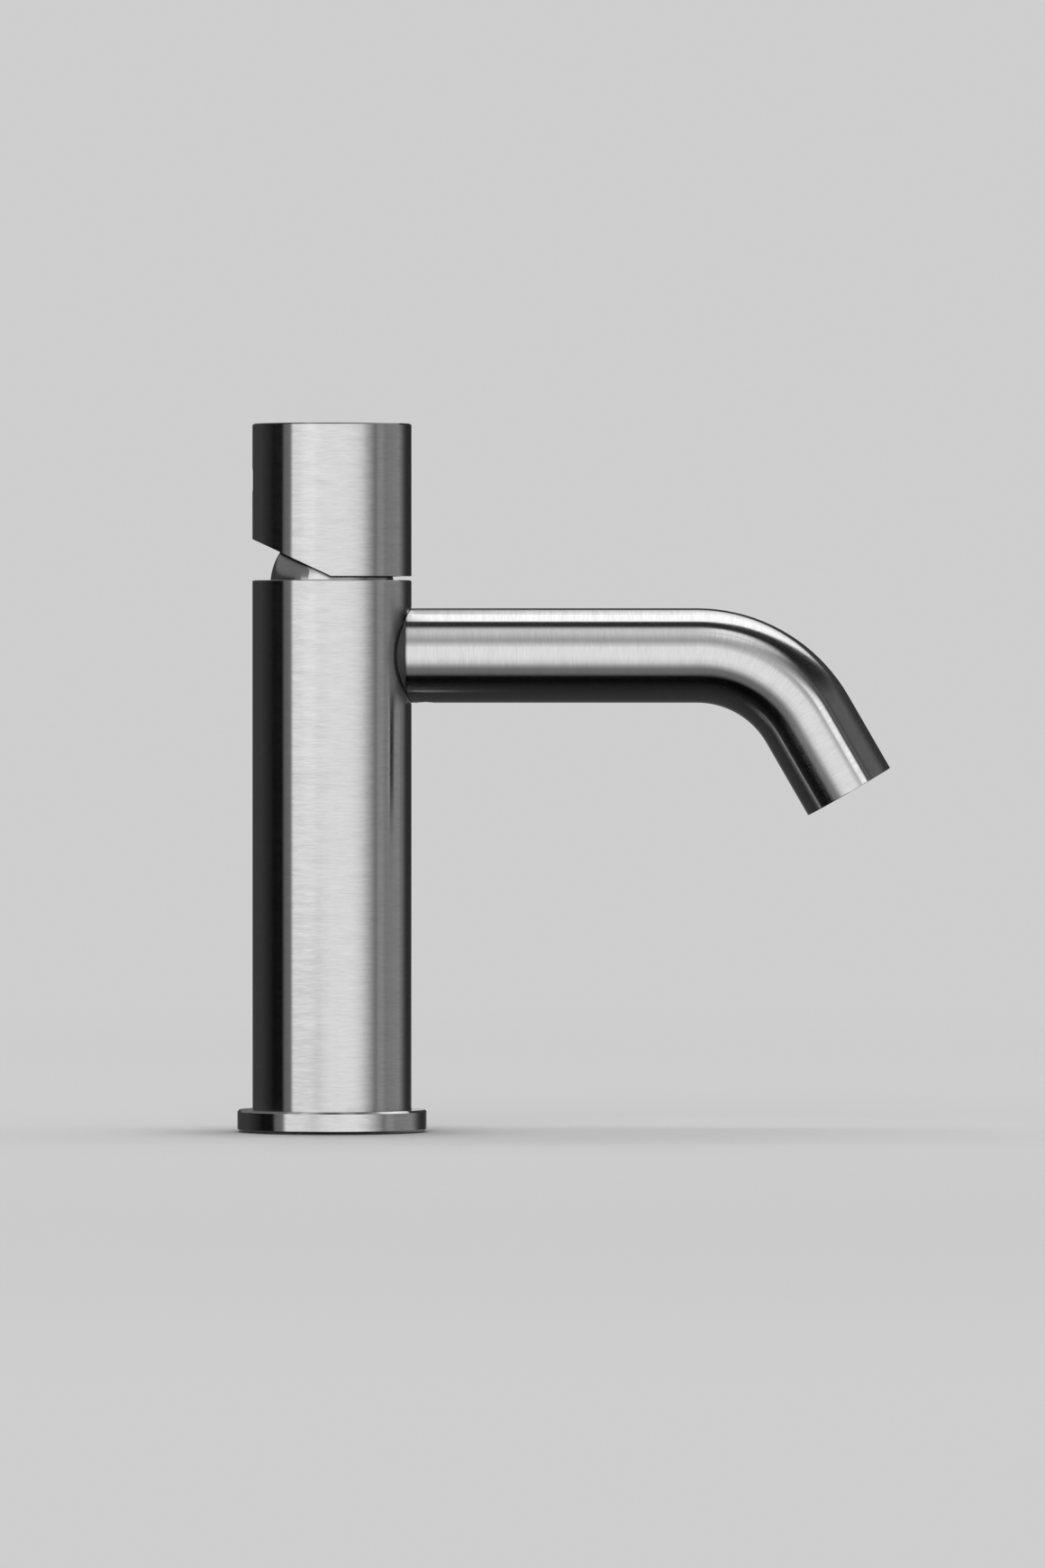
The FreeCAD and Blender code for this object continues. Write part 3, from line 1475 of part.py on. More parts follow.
def make_fixing_nut():
    """The hexagon nut that pulls the horseshoe up against the deck. Its corners are turned off."""
    nut = new_body("fixing_nut", (STUD_X, "0", NUT_TOP + " - sizes.nut_height"))
    corner = "(sizes.nut_across_flats / sqrt(3))"
    hexagon = outline_on(
        nut,
        "nut_hexagon",
        [
            (corner, "0"),
            (corner + " / 2", half("nut_across_flats")),
            ("-" + corner + " / 2", half("nut_across_flats")),
            ("-" + corner, "0"),
            ("-" + corner + " / 2", "-" + half("nut_across_flats")),
            (corner + " / 2", "-" + half("nut_across_flats")),
        ],
    )
    pad(nut, "nut_blank", hexagon, size("nut_height"))
    inner = "(" + corner + " - 2 * sizes.nut_chamfer)"
    outer = "(" + corner + " + sizes.nut_chamfer)"
    rise = "(3 * sizes.nut_chamfer / sqrt(3))"
    top = size("nut_height")
    low_corner = [(inner, "0"), (outer, "0"), (outer, rise)]
    high_corner = [(inner, top), (outer, top), (outer, "(" + top + " - " + rise + ")")]
    revolve(nut, "nut_low_corners", low_corner, cut=True)
    revolve(nut, "nut_high_corners", high_corner, cut=True)
    bore_radius = "(sizes.stud_diameter / 2 + sizes.thread_fit)"
    bore = circles_on(nut, "nut_bore_circle", [("0", "0", bore_radius)], lift=top)
    pocket(nut, "nut_bore", bore, top)
    return nut


SUB_PARTS = [
    make_column(),
    make_base_flange(),
    make_base_seal(),
    make_valve_block(),
    make_block_o_rings(),
    make_block_lock_ring(),
    make_spout_tube(),
    make_spout_nipple(),
    make_saddle_seal(),
    make_spout_o_rings(),
    make_spout_grub_screw(),
    make_outlet_collar(),
    make_aerator_housing(),
    make_aerator_mesh(),
    make_aerator_core(),
    make_aerator_washer(),
    make_cartridge_base(),
    make_cartridge_port_seals(),
    make_cartridge_housing(),
    make_fixed_disc(),
    make_cartridge_nut(),
    make_dome_cover(),
    make_turn_carrier(),
    make_carrier_o_ring(),
    make_lever_pin(),
    make_disc_carrier(),
    make_moving_disc(),
    make_handle(),
    make_lever_spindle(),
    make_handle_grub_screw(),
    make_handle_plug(),
    make_fixing_stud(),
    make_horseshoe("horseshoe_gasket", "-sizes.deck_thickness", size("gasket_thickness")),
    make_horseshoe("horseshoe_washer", WASHER_TOP, size("washer_thickness")),
    make_fixing_nut(),
]
doc.recompute()


# Checks, then one file for each sub-part

for item in doc.Objects:
    if "Invalid" in item.State or "Error" in item.State:
        raise RuntimeError("failed to build: " + item.Name)

CUTTING_KINDS = ("PartDesign::Pocket", "PartDesign::Groove")
for item in doc.Objects:
    if item.TypeId in CUTTING_KINDS and not item.Shape.Volume < item.BaseFeature.Shape.Volume:
        raise RuntimeError("cuts nothing: " + item.Name)

for sub_part in SUB_PARTS:
    if sub_part.Shape.isNull() or not sub_part.Shape.isValid() or not sub_part.Shape.Solids:
        raise RuntimeError("not a sound solid: " + sub_part.Label)

os.makedirs("parts", exist_ok=True)
for sub_part in SUB_PARTS:
    sub_part.Shape.exportStep(os.path.join("parts", sub_part.Label + ".step"))
print("sub-parts written:", len(SUB_PARTS))
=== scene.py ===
import math

import bpy
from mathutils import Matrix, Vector


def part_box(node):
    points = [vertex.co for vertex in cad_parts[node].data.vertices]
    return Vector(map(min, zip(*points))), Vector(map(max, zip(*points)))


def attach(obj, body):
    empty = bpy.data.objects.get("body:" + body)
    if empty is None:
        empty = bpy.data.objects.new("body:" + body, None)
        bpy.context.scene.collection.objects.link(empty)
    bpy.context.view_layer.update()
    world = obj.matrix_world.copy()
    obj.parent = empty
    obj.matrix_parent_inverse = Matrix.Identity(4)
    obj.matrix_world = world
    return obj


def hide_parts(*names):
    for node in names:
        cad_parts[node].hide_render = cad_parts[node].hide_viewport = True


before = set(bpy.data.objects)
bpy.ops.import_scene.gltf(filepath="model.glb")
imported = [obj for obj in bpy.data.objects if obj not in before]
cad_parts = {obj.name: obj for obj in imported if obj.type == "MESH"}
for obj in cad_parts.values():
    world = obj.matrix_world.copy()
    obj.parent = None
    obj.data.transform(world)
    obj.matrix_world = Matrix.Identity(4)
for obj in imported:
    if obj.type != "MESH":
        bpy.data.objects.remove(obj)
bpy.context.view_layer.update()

bl_info = {
    "name": "Deck Mounted Mixer",
    "version": (1, 0, 0),
    "blender": (4, 5, 0),
    "location": "3D View > Sidebar > Mixer",
    "description": "Finishes, threads, outlet screen and studio for the deck mounted mixer",
    "category": "Object",
}

MIXER_BODY = "mixer_body"

# Column and handle
FOOT_RADIUS = 0.0238
RIM_Z = 0.1383
HANDLE_RADIUS = 0.02
HANDLE_TOP = 0.1776
HANDLE_CHAMFER = 0.0003

# Spout line, as the tube is bent: its height, its start, its bend, and the middle of the cut end
SPOUT_Z = 0.1194
SPOUT_END_X = 0.0185
BEND_START_X = 0.09178
BEND_RADIUS = 0.032
BEND_ANGLE = math.radians(60)
OUTLET_PLACE = (0.130, 0.0, 0.08519)
TAIL_X = 0.115

# Painted shade at the joint between spout and column: the dark ring, its soft edge, and where along X it
# starts and is full
JOINT_RADIUS = 0.0122
JOINT_EDGE = 0.0034
JOINT_START_X = 0.009
JOINT_FULL_X = 0.014

# Slopes between which a turned piece's grain goes over from its sides to its faces
SIDE_SLOPE = 0.55
FACE_SLOPE = 0.85

# Outlet screen
SCREEN_RADIUS = 0.0077
SCREEN_HEIGHT = 0.0008
SCREEN_LIFT = 0.0023
SCREEN_CELLS = 15

# Deck and backdrop. Between the two fade distances the deck goes over from its lit colour to its own
DECK_HOLE = 0.0175
DECK_TOP = -0.0003
DECK_BOTTOM = -0.06
DECK_RINGS = (0.06, 0.3, 1.5)
DECK_EDGE = 4.2
FADE_START = 0.3
FADE_END = 1.2
SWEEP_RADIUS = 2.2
SWEEP_STEPS = 12
BACKDROP_TOP = 5.0
ROUND_STEPS = 128

# Camera
MIDDLE_X = 0.0479
CAMERA_HEIGHT = 0.1174
AIM_HEIGHT = 0.0871

# Nodes by finish
BRUSHED_ROUND = ("column", "base_flange", "handle")
RUBBER_NODES = (
    "base_seal",
    "block_o_rings",
    "spout_o_rings",
    "aerator_washer",
    "cartridge_port_seals",
    "carrier_o_ring",
    "horseshoe_gasket",
)
BRASS_NODES = (
    "valve_block",
    "block_lock_ring",
    "spout_nipple",
    "outlet_collar",
    "cartridge_nut",
    "fixing_nut",
)
PLATED_NODES = ("spout_grub_screw", "handle_grub_screw", "lever_pin", "lever_spindle", "horseshoe_washer")
GREY_PLASTIC_NODES = ("aerator_housing", "aerator_core", "cartridge_base", "cartridge_housing")
WHITE_PLASTIC_NODES = ("turn_carrier", "disc_carrier")
CERAMIC_NODES = ("fixed_disc", "moving_disc")

# Reflection cards: the attribute with the angle that a corner shows, how far off the cards stand, the
# elevation of the walls' lower edge, the low cards' angles from the front, the degrees between two corners,
# and the gain
CARD_ANGLE = "shown_angle"
CARD_DISTANCE = 2.4
NEARER = CARD_DISTANCE * 0.95
NEAREST = CARD_DISTANCE * 0.9
FARTHER = CARD_DISTANCE * 1.6
WALL_BOTTOM = -24.0
LOW_SPANS = (9.0, 176.0)
ROUND_STRIDE = 4.0
BENT_STRIDE = 5.0
CARD_GAIN = 2.0

# Brightness of the cards: pairs of an angle in degrees and a level
ROUND_LEVELS = (
    (-180.0, 0.05),
    (-125.0, 0.05),
    (-98.0, 0.012),
    (-94.0, 0.003),
    (-75.5, 0.003),
    (-73.5, 0.15),
    (-61.5, 0.22),
    (-57.5, 1.08),
    (-40.0, 1.14),
    (-27.0, 1.22),
    (-14.0, 1.12),
    (0.0, 1.08),
    (30.0, 1.05),
    (45.0, 0.82),
    (56.0, 0.53),
    (67.0, 0.21),
    (73.0, 0.34),
    (79.0, 0.34),
    (85.0, 0.26),
    (114.0, 0.3),
    (118.0, 0.25),
    (130.0, 0.08),
    (140.0, 0.03),
    (180.0, 0.03),
)
OVER_LEVELS = (
    (20.0, 1.0),
    (36.0, 0.46),
    (46.0, 0.6),
    (60.0, 0.8),
    (66.0, 0.7),
    (72.0, 0.35),
    (76.0, 0.03),
    (90.5, 0.03),
    (92.5, 1.48),
    (122.0, 1.48),
    (133.0, 1.2),
    (146.0, 0.7),
    (160.0, 0.55),
    (180.0, 0.45),
)
UNDER_BACK_LEVELS = (
    (66.0, 0.003),
    (76.0, 0.012),
    (100.0, 0.032),
    (146.0, 0.055),
    (162.0, 0.12),
    (176.0, 0.16),
)
UNDER_LEVELS = (
    (9.0, 1.0),
    (17.0, 0.92),
    (24.0, 0.53),
    (32.0, 0.21),
    (45.0, 0.18),
    (48.0, 0.13),
    (52.5, 0.003),
    *UNDER_BACK_LEVELS,
)
TAIL_UNDER_LEVELS = (
    (9.0, 1.0),
    (17.0, 0.92),
    (24.0, 0.5),
    (31.0, 0.21),
    (41.5, 0.18),
    (44.5, 0.12),
    (49.0, 0.003),
    *UNDER_BACK_LEVELS,
)
RIGHT_LOW_LEVELS = (
    (9.0, 1.08),
    (40.0, 1.0),
    (60.0, 0.3),
    (76.0, 0.14),
    (125.0, 0.14),
    (176.0, 0.22),
)
RIGHT_LEVELS = (
    (21.0, 0.8),
    (27.0, 0.45),
    (36.0, 0.43),
    (46.0, 0.18),
    (54.0, 0.05),
    (60.0, 0.05),
)
RIGHT_HIGH_LEVELS = (
    (56.0, 0.2),
    (62.0, 0.08),
    (72.0, 0.15),
    (100.0, 0.15),
    (126.0, 0.045),
    (180.0, 0.05),
)
BEND_LEVELS = (
    (44.0, 0.6),
    (50.0, 0.95),
    (60.0, 1.25),
    (69.0, 1.25),
    (74.0, 0.9),
)
LEFT_GREY_LEVELS = ((-180.0, 0.185), (0.0, 0.185))
RIGHT_WHITE_LEVELS = ((0.0, 1.65), (180.0, 1.65))
RIGHT_BLACK_LEVELS = ((0.0, 0.012), (180.0, 0.012))

# Canopy cards over the spout: rows of an angle in degrees, a left end and a right end
LOW_CANOPY = (
    (21.5, -1.4, 1.6),
    (33.0, -1.4, 1.6),
    (45.0, -1.4, 1.6),
)
HIGH_CANOPY = (
    (45.0, -1.4, 1.6),
    (57.0, -1.4, 1.6),
    (70.0, -1.4, 1.45),
    (90.0, -1.4, 1.3),
)
WHITE_CANOPY = (
    (90.0, -0.8, 0.05),
    (91.0, -0.8, 0.15),
    (94.0, -0.8, 0.62),
    (100.0, -0.8, 1.1),
    (104.0, -0.8, 1.34),
    (112.0, -0.8, 1.6),
    (125.0, -0.8, 1.82),
    (140.0, -0.8, 1.76),
    (150.0, -0.8, 1.4),
    (165.0, -0.8, 0.7),
    (178.0, -0.8, 0.08),
)
BEND_CANOPY = (
    (44.0, 0.35, 0.75),
    (58.0, 0.3, 0.9),
    (74.0, 0.35, 0.95),
)

# Shader building blocks


def add_node(tree, kind, inputs=None, **settings):
    """A node with its settings, and its inputs as plain values or as links."""
    node = tree.nodes.new(kind)
    for name, setting in settings.items():
        setattr(node, name, setting)
    for key, source in (inputs or {}).items():
        if isinstance(source, bpy.types.NodeSocket):
            tree.links.new(source, node.inputs[key])
        else:
            node.inputs[key].default_value = source
    return node


def number(tree, operation, first, second=0.0, clamped=False):
    """One number worked out from others."""
    node = add_node(
        tree,
        "ShaderNodeMath",
        {0: first, 1: second},
        operation=operation,
        use_clamp=clamped,
    )
    return node.outputs[0]


def total(tree, first, second):
    """Two numbers added."""
    return number(tree, "ADD", first, second)


def difference(tree, first, second, clamped=False):
    """The first number less the second."""
    return number(tree, "SUBTRACT", first, second, clamped)


def product(tree, first, second):
    """Two numbers multiplied."""
    return number(tree, "MULTIPLY", first, second)


def quotient(tree, first, second, clamped=False):
    """The first number divided by the second."""
    return number(tree, "DIVIDE", first, second, clamped)


def vector(tree, operation, first, second=(0.0, 0.0, 0.0), result="Vector"):
    """One vector, or one number, worked out from vectors."""
    node = add_node(tree, "ShaderNodeVectorMath", {0: first, 1: second}, operation=operation)
    return node.outputs[result]


def parts_of(tree, source):
    """The three numbers of a vector."""
    return add_node(tree, "ShaderNodeSeparateXYZ", {0: source}).outputs[:]


def joined(tree, x, y, z):
    """A vector from three numbers."""
    return add_node(tree, "ShaderNodeCombineXYZ", {0: x, 1: y, 2: z}).outputs[0]


def off_axis(tree, first, second):
    """Distance from an axis, from the two distances across it."""
    return vector(tree, "LENGTH", joined(tree, first, second, 0.0), result="Value")


def in_space(tree, source, kind, start, end):
    """A normal or a vector, carried from one space to another."""
    node = add_node(
        tree,
        "ShaderNodeVectorTransform",
        {0: source},
        vector_type=kind,
        convert_from=start,
        convert_to=end,
    )
    return node.outputs[0]


def spread(tree, source, low, high, new_low, new_high, kind="LINEAR"):
    """A number moved from one range to another and kept in it."""
    node = add_node(
        tree,
        "ShaderNodeMapRange",
        {"Value": source, "From Min": low, "From Max": high, "To Min": new_low, "To Max": new_high},
        interpolation_type=kind,
    )
    return node.outputs["Result"]


def noise(tree, place, scale, detail=2.0, roughness=0.55, distortion=0.0):
    """A noise between 0 and 1."""
    node = add_node(
        tree,
        "ShaderNodeTexNoise",
        {
            "Vector": place,
            "Scale": scale,
            "Detail": detail,
            "Roughness": roughness,
            "Distortion": distortion,
        },
    )
    return node.outputs["Fac"]


def object_place(tree):
    """The place on the object, in metres."""
    return add_node(tree, "ShaderNodeTexCoord").outputs["Object"]


def blended(tree, factor, first, second):
    """A colour between two others."""
    node = add_node(
        tree,
        "ShaderNodeMix",
        {"Factor": factor, "A": first, "B": second},
        data_type="RGBA",
    )
    return node.outputs["Result"]


def shaded(colour, factor):
    """A colour made lighter or darker."""
    return (colour[0] * factor, colour[1] * factor, colour[2] * factor, 1.0)


def new_group(name, inputs, outputs):
    """An empty shader group with its sockets."""
    group = bpy.data.node_groups.new(name, "ShaderNodeTree")
    for label, kind in inputs:
        group.interface.new_socket(label, in_out="INPUT", socket_type="NodeSocket" + kind)
    for label, kind in outputs:
        group.interface.new_socket(label, in_out="OUTPUT", socket_type="NodeSocket" + kind)
    return group


def new_material(name):
    """A material with a surface shader, ready for its inputs."""
    material = bpy.data.materials.new(name)
    material.use_nodes = True
    tree = material.node_tree
    tree.nodes.clear()
    surface = add_node(tree, "ShaderNodeBsdfPrincipled")
    add_node(tree, "ShaderNodeOutputMaterial", {"Surface": surface.outputs[0]})
    return material, tree, surface


def feed(tree, surface, **sources):
    """Give the surface shader its inputs. Underscores stand for spaces."""
    for name, source in sources.items():
        key = name.replace("_", " ")
        if isinstance(source, bpy.types.NodeSocket):
            tree.links.new(source, surface.inputs[key])
        else:
            surface.inputs[key].default_value = source


def relief(tree, surface, height, depth, strength):
    """Fine relief of a depth in metres."""
    bump = add_node(tree, "ShaderNodeBump", {"Height": height, "Distance": depth, "Strength": strength})
    tree.links.new(bump.outputs["Normal"], surface.inputs["Normal"])


def dress(material, node_names):
    """Put one material on the slots of CAD nodes."""
    for name in node_names:
        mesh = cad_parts[name].data
        mesh.materials.clear()
        mesh.materials.append(material)


# Directions of the grain


def new_grain(name):
    """An empty group for the grain of one kind of piece, and its inputs."""
    inputs = [("Along", "Float"), ("Across", "Float")]
    outputs = [("Grain Place", "Vector"), ("Tangent", "Vector")]
    group = new_group(name, inputs, outputs)
    return group, add_node(group, "NodeGroupInput").outputs


def grain_place(group, take, first, second, across):
    """A place that is long along the strokes, which the first two numbers give, and short across them."""
    return joined(
        group,
        product(group, first, take["Along"]),
        product(group, second, take["Along"]),
        product(group, across, take["Across"]),
    )


def make_turned_grain():
    """Grain of a piece that is brushed on a lathe, round the Z axis: on its sides and on its faces."""
    group, take = new_grain("turned_grain")
    x, y, z = parts_of(group, object_place(group))
    normal = add_node(group, "ShaderNodeNewGeometry").outputs["Normal"]
    own_normal = in_space(group, normal, "NORMAL", "WORLD", "OBJECT")
    facing_up = number(group, "ABSOLUTE", parts_of(group, own_normal)[2])
    on_face = spread(group, facing_up, SIDE_SLOPE, FACE_SLOPE, 0.0, 1.0)
    up_side = product(group, z, difference(group, 1.0, on_face))
    over_face = product(group, off_axis(group, x, y), on_face)
    grain = grain_place(group, take, x, y, total(group, up_side, over_face))
    stroke = joined(group, product(group, y, -1.0), x, 0.0)
    stroke = in_space(group, stroke, "VECTOR", "OBJECT", "WORLD")
    tangent = vector(group, "NORMALIZE", vector(group, "CROSS_PRODUCT", stroke, normal))
    add_node(group, "NodeGroupOutput", {"Grain Place": grain, "Tangent": tangent})
    return group


def make_tube_grain():
    """Grain of the spout, brushed round its bent line."""
    group, take = new_grain("tube_grain")
    centre = (BEND_START_X, 0.0, SPOUT_Z - BEND_RADIUS)
    offset = vector(group, "SUBTRACT", object_place(group), centre)
    x, y, z = parts_of(group, offset)
    turned = number(group, "ARCTAN2", x, z)
    angle = number(group, "MINIMUM", number(group, "MAXIMUM", turned, 0.0), BEND_ANGLE)
    cosine = number(group, "COSINE", angle)
    sine = number(group, "SINE", angle)
    line = joined(group, cosine, 0.0, product(group, sine, -1.0))
    outward = joined(group, sine, 0.0, cosine)
    past_bend = vector(group, "DOT_PRODUCT", offset, line, "Value")
    travelled = total(group, product(group, angle, BEND_RADIUS), past_bend)
    height = difference(group, vector(group, "DOT_PRODUCT", offset, outward, "Value"), BEND_RADIUS)
    grain = grain_place(group, take, height, y, travelled)
    add_node(group, "NodeGroupOutput", {"Grain Place": grain, "Tangent": line})
    return group


def make_hairlines():
    """Fine hairlines with wandering, broken strokes. It gives their tone and their depth."""
    fine_share, wander_reach, broad_stretch = 0.68, 1.5, (0.45, 0.45, 0.22)
    group = new_group("hairlines", [("Grain Place", "Vector")], [("Tone", "Float"), ("Depth", "Float")])
    place = add_node(group, "NodeGroupInput").outputs["Grain Place"]
    wander = noise(group, object_place(group), scale=230.0)
    lift = joined(group, 0.0, 0.0, product(group, wander, wander_reach))
    place = vector(group, "ADD", place, lift)
    fine = noise(group, place, scale=1.0, detail=3.0, roughness=0.62)
    broad = noise(group, vector(group, "MULTIPLY", place, broad_stretch), scale=1.0, roughness=0.5)
    strokes = total(group, product(group, fine, fine_share), product(group, broad, 1.0 - fine_share))
    tone = spread(group, strokes, 0.34, 0.66, 0.0, 1.0)
    add_node(group, "NodeGroupOutput", {"Tone": tone, "Depth": fine})
    return group


# Painted shade and a painted dark reflection: places where the steel's colour is made darker


def joint_shade(tree):
    """Painted shade at the joint between spout and column: 1 in the narrow joint, and 0 away from it. It
    darkens the column round the tube's end in place of the tube's shade and dark reflection, and turns the
    tube's end edge into a dark line.
    """
    x, y, z = parts_of(tree, object_place(tree))
    off_line = off_axis(tree, y, difference(tree, z, SPOUT_Z))
    near_ring = spread(tree, off_line, JOINT_RADIUS, JOINT_RADIUS + JOINT_EDGE, 1.0, 0.0, "SMOOTHSTEP")
    on_column = spread(tree, x, JOINT_START_X, JOINT_FULL_X, 0.0, 1.0)
    before_tube = spread(tree, x, SPOUT_END_X + 0.0002, SPOUT_END_X + 0.0006, 1.0, 0.0)
    return product(tree, near_ring, product(tree, on_column, before_tube))


def inner_shade(tree):
    """Painted shade inside the handle: 1 on the handle's inner faces, between its cut and its top, and 0
    outside.
    """
    x, y, z = parts_of(tree, object_place(tree))
    inside = spread(tree, off_axis(tree, x, y), HANDLE_RADIUS - 0.0007, HANDLE_RADIUS - 0.0002, 1.0, 0.0)
    over_rim = spread(tree, z, RIM_Z + 0.0002, RIM_Z + 0.0004, 0.0, 1.0)
    under_top = spread(tree, z, HANDLE_TOP - 0.0008, HANDLE_TOP - 0.0006, 1.0, 0.0)
    return product(tree, inside, product(tree, over_rim, under_top))


def edge_painted_reflection(tree):
    """Painted dark reflection on the handle's top: 1 on the small chamfer round it, and 0 on the faces
    beside it.
    """
    x, y, z = parts_of(tree, object_place(tree))
    chamfer = HANDLE_TOP + HANDLE_RADIUS - HANDLE_CHAMFER
    outward_and_up = total(tree, z, off_axis(tree, x, y))
    return spread(tree, outward_and_up, chamfer - 0.0001, chamfer - 0.00003, 0.0, 1.0)


# Finishes


def brushed_steel(
    name,
    direction,
    hairlines,
    look,
    shades=(),
    stretch=1.0,
    density=1.0,
    gloss=1.0,
    contrast=1.0,
):
    """Stainless steel with hairlines in one direction. The wide side of its gloss is across them.

    The last four arguments are factors on the look's own values.
    """
    material, tree, surface = new_material(name)
    grain = add_node(tree, "ShaderNodeGroup", node_tree=direction)
    grain.inputs["Along"].default_value = stretch / look.hairline_length
    grain.inputs["Across"].default_value = density / look.hairline_pitch
    lines = add_node(tree, "ShaderNodeGroup", node_tree=hairlines)
    tree.links.new(grain.outputs["Grain Place"], lines.inputs["Grain Place"])
    tone = lines.outputs["Tone"]
    steel = look.steel_colour
    change = contrast * look.contrast
    colour = blended(tree, tone, shaded(steel, 1.0 - change), shaded(steel, 1.0 + change * 0.6))
    cloud = noise(tree, object_place(tree), scale=45.0)
    colour = blended(tree, spread(tree, cloud, 0.35, 0.65, 0.0, 0.05), colour, shaded(steel, 0.8))
    # Painted shade at the joint and inside the handle, and a painted dark reflection on the handle's top
    # chamfer, darken the colour
    for shade, darkened in shades:
        colour = blended(tree, shade(tree), colour, shaded(steel, darkened))
    rough = gloss * look.roughness
    roughness = spread(tree, tone, 0.0, 1.0, rough + look.gloss_change, rough - look.gloss_change)
    feed(
        tree,
        surface,
        Base_Color=colour,
        Metallic=1.0,
        Roughness=roughness,
        Anisotropic=look.grain_pull,
        Tangent=grain.outputs["Tangent"],
    )
    relief(tree, surface, lines.outputs["Depth"], look.hairline_depth, strength=0.35)
    return material


def machined_metal(name, colour, roughness, groove_pitch, patchiness):
    """Bare metal with fine tool marks round its axis and a little staining."""
    material, tree, surface = new_material(name)
    place = object_place(tree)
    x, y, z = parts_of(tree, place)
    waver = 40.0
    groove = joined(tree, product(tree, x, waver), product(tree, y, waver), quotient(tree, z, groove_pitch))
    rings = noise(tree, groove, scale=1.0)
    stain = noise(tree, place, scale=260.0, detail=4.0, roughness=0.6)
    stained = spread(tree, stain, 0.4, 0.7, 0.0, patchiness)
    tint = blended(tree, stained, (*colour, 1.0), shaded(colour, 0.62))
    tint = blended(tree, spread(tree, rings, 0.4, 0.6, 0.0, 0.22), tint, shaded(colour, 1.22))
    gloss = spread(tree, stain, 0.35, 0.7, roughness, roughness + 0.14)
    feed(tree, surface, Base_Color=tint, Metallic=1.0, Roughness=gloss)
    relief(tree, surface, rings, 0.00004, strength=0.5)
    return material


def moulded_plastic(name, colour, roughness, grain_size):
    """Moulded plastic or rubber with a fine sparked grain and slight flow marks."""
    material, tree, surface = new_material(name)
    place = object_place(tree)
    grain = noise(tree, place, scale=1.0 / grain_size, detail=3.0, roughness=0.6)
    flow = noise(tree, place, scale=130.0, roughness=0.5, distortion=1.2)
    tint = blended(tree, spread(tree, flow, 0.35, 0.7, 0.0, 0.4), (*colour, 1.0), shaded(colour, 0.84))
    tint = blended(tree, spread(tree, grain, 0.45, 0.7, 0.0, 0.25), tint, shaded(colour, 1.12))
    gloss = spread(tree, grain, 0.3, 0.7, roughness - 0.05, roughness + 0.1)
    feed(tree, surface, Base_Color=tint, Roughness=gloss)
    relief(tree, surface, grain, 0.00005, strength=0.5)
    return material


def lapped_ceramic(name, colour):
    """Near white ceramic, glossy, with faint speckle and lapping marks."""
    material, tree, surface = new_material(name)
    place = object_place(tree)
    speckle = noise(tree, place, scale=5200.0, roughness=0.7)
    lapping = noise(tree, place, scale=700.0, detail=3.0, roughness=0.6, distortion=2.5)
    speckled = spread(tree, speckle, 0.5, 0.75, 0.0, 0.5)
    tint = blended(tree, speckled, (*colour, 1.0), shaded(colour, 0.86))
    feed(tree, surface, Base_Color=tint, Roughness=spread(tree, lapping, 0.3, 0.7, 0.12, 0.26))
    relief(tree, surface, lapping, 0.00001, strength=0.4)
    return material


# Settings


class SteelLook(bpy.types.PropertyGroup):
    """Colour and grain of the stainless steel, and the tones of its painted shade and painted dark
    reflection.
    """

    steel_colour: bpy.props.FloatVectorProperty(
        name="Steel colour",
        description="Colour of the bare stainless steel",
        subtype="COLOR",
        size=3,
        min=0.0,
        max=1.0,
        default=(0.66, 0.66, 0.66),
    )
    roughness: bpy.props.FloatProperty(
        name="Roughness",
        description="Roughness of the brushed faces",
        subtype="FACTOR",
        min=0.05,
        max=1.0,
        default=0.165,
    )
    gloss_change: bpy.props.FloatProperty(
        name="Gloss change",
        description="How much the roughness changes from stroke to stroke",
        subtype="FACTOR",
        min=0.0,
        max=0.2,
        default=0.026,
    )
    grain_pull: bpy.props.FloatProperty(
        name="Grain pull",
        description="How far the gloss is drawn out across the hairlines",
        subtype="FACTOR",
        min=0.0,
        max=1.0,
        default=0.9,
    )
    hairline_depth: bpy.props.FloatProperty(
        name="Hairline depth",
        description="Depth of the brushed strokes",
        unit="LENGTH",
        min=0.0,
        max=0.0005,
        default=0.000002,
    )
    hairline_pitch: bpy.props.FloatProperty(
        name="Hairline pitch",
        description="Spacing of the brushed strokes",
        unit="LENGTH",
        min=0.0001,
        max=0.002,
        default=0.0004,
    )
    hairline_length: bpy.props.FloatProperty(
        name="Hairline length",
        description="Length of the brushed strokes",
        unit="LENGTH",
        min=0.001,
        max=0.05,
        default=0.004,
    )
    # Strength of the painted shade at the joint between spout and column
    joint_shade_tone: bpy.props.FloatProperty(
        name="Joint shade tone",
        description="Tone of the painted shade in the joint between spout and column",
        subtype="FACTOR",
        min=0.0,
        max=1.0,
        default=0.48,
    )
    # Strength of the painted shade on the steel inside the handle
    inner_shade_tone: bpy.props.FloatProperty(
        name="Inner shade tone",
        description="Tone of the painted shade on the steel inside the handle",
        subtype="FACTOR",
        min=0.0,
        max=1.0,
        default=0.25,
    )
    # Strength of the painted dark reflection on the chamfer round the handle's top
    edge_reflection_tone: bpy.props.FloatProperty(
        name="Edge reflection tone",
        description="Tone of the painted dark reflection on the chamfer round the handle's top",
        subtype="FACTOR",
        min=0.0,
        max=1.0,
        default=0.3,
    )
    contrast: bpy.props.FloatProperty(
        name="Contrast",
        description="Difference in tone between strokes",
        subtype="FACTOR",
        min=0.0,
        max=0.5,
        default=0.07,
    )


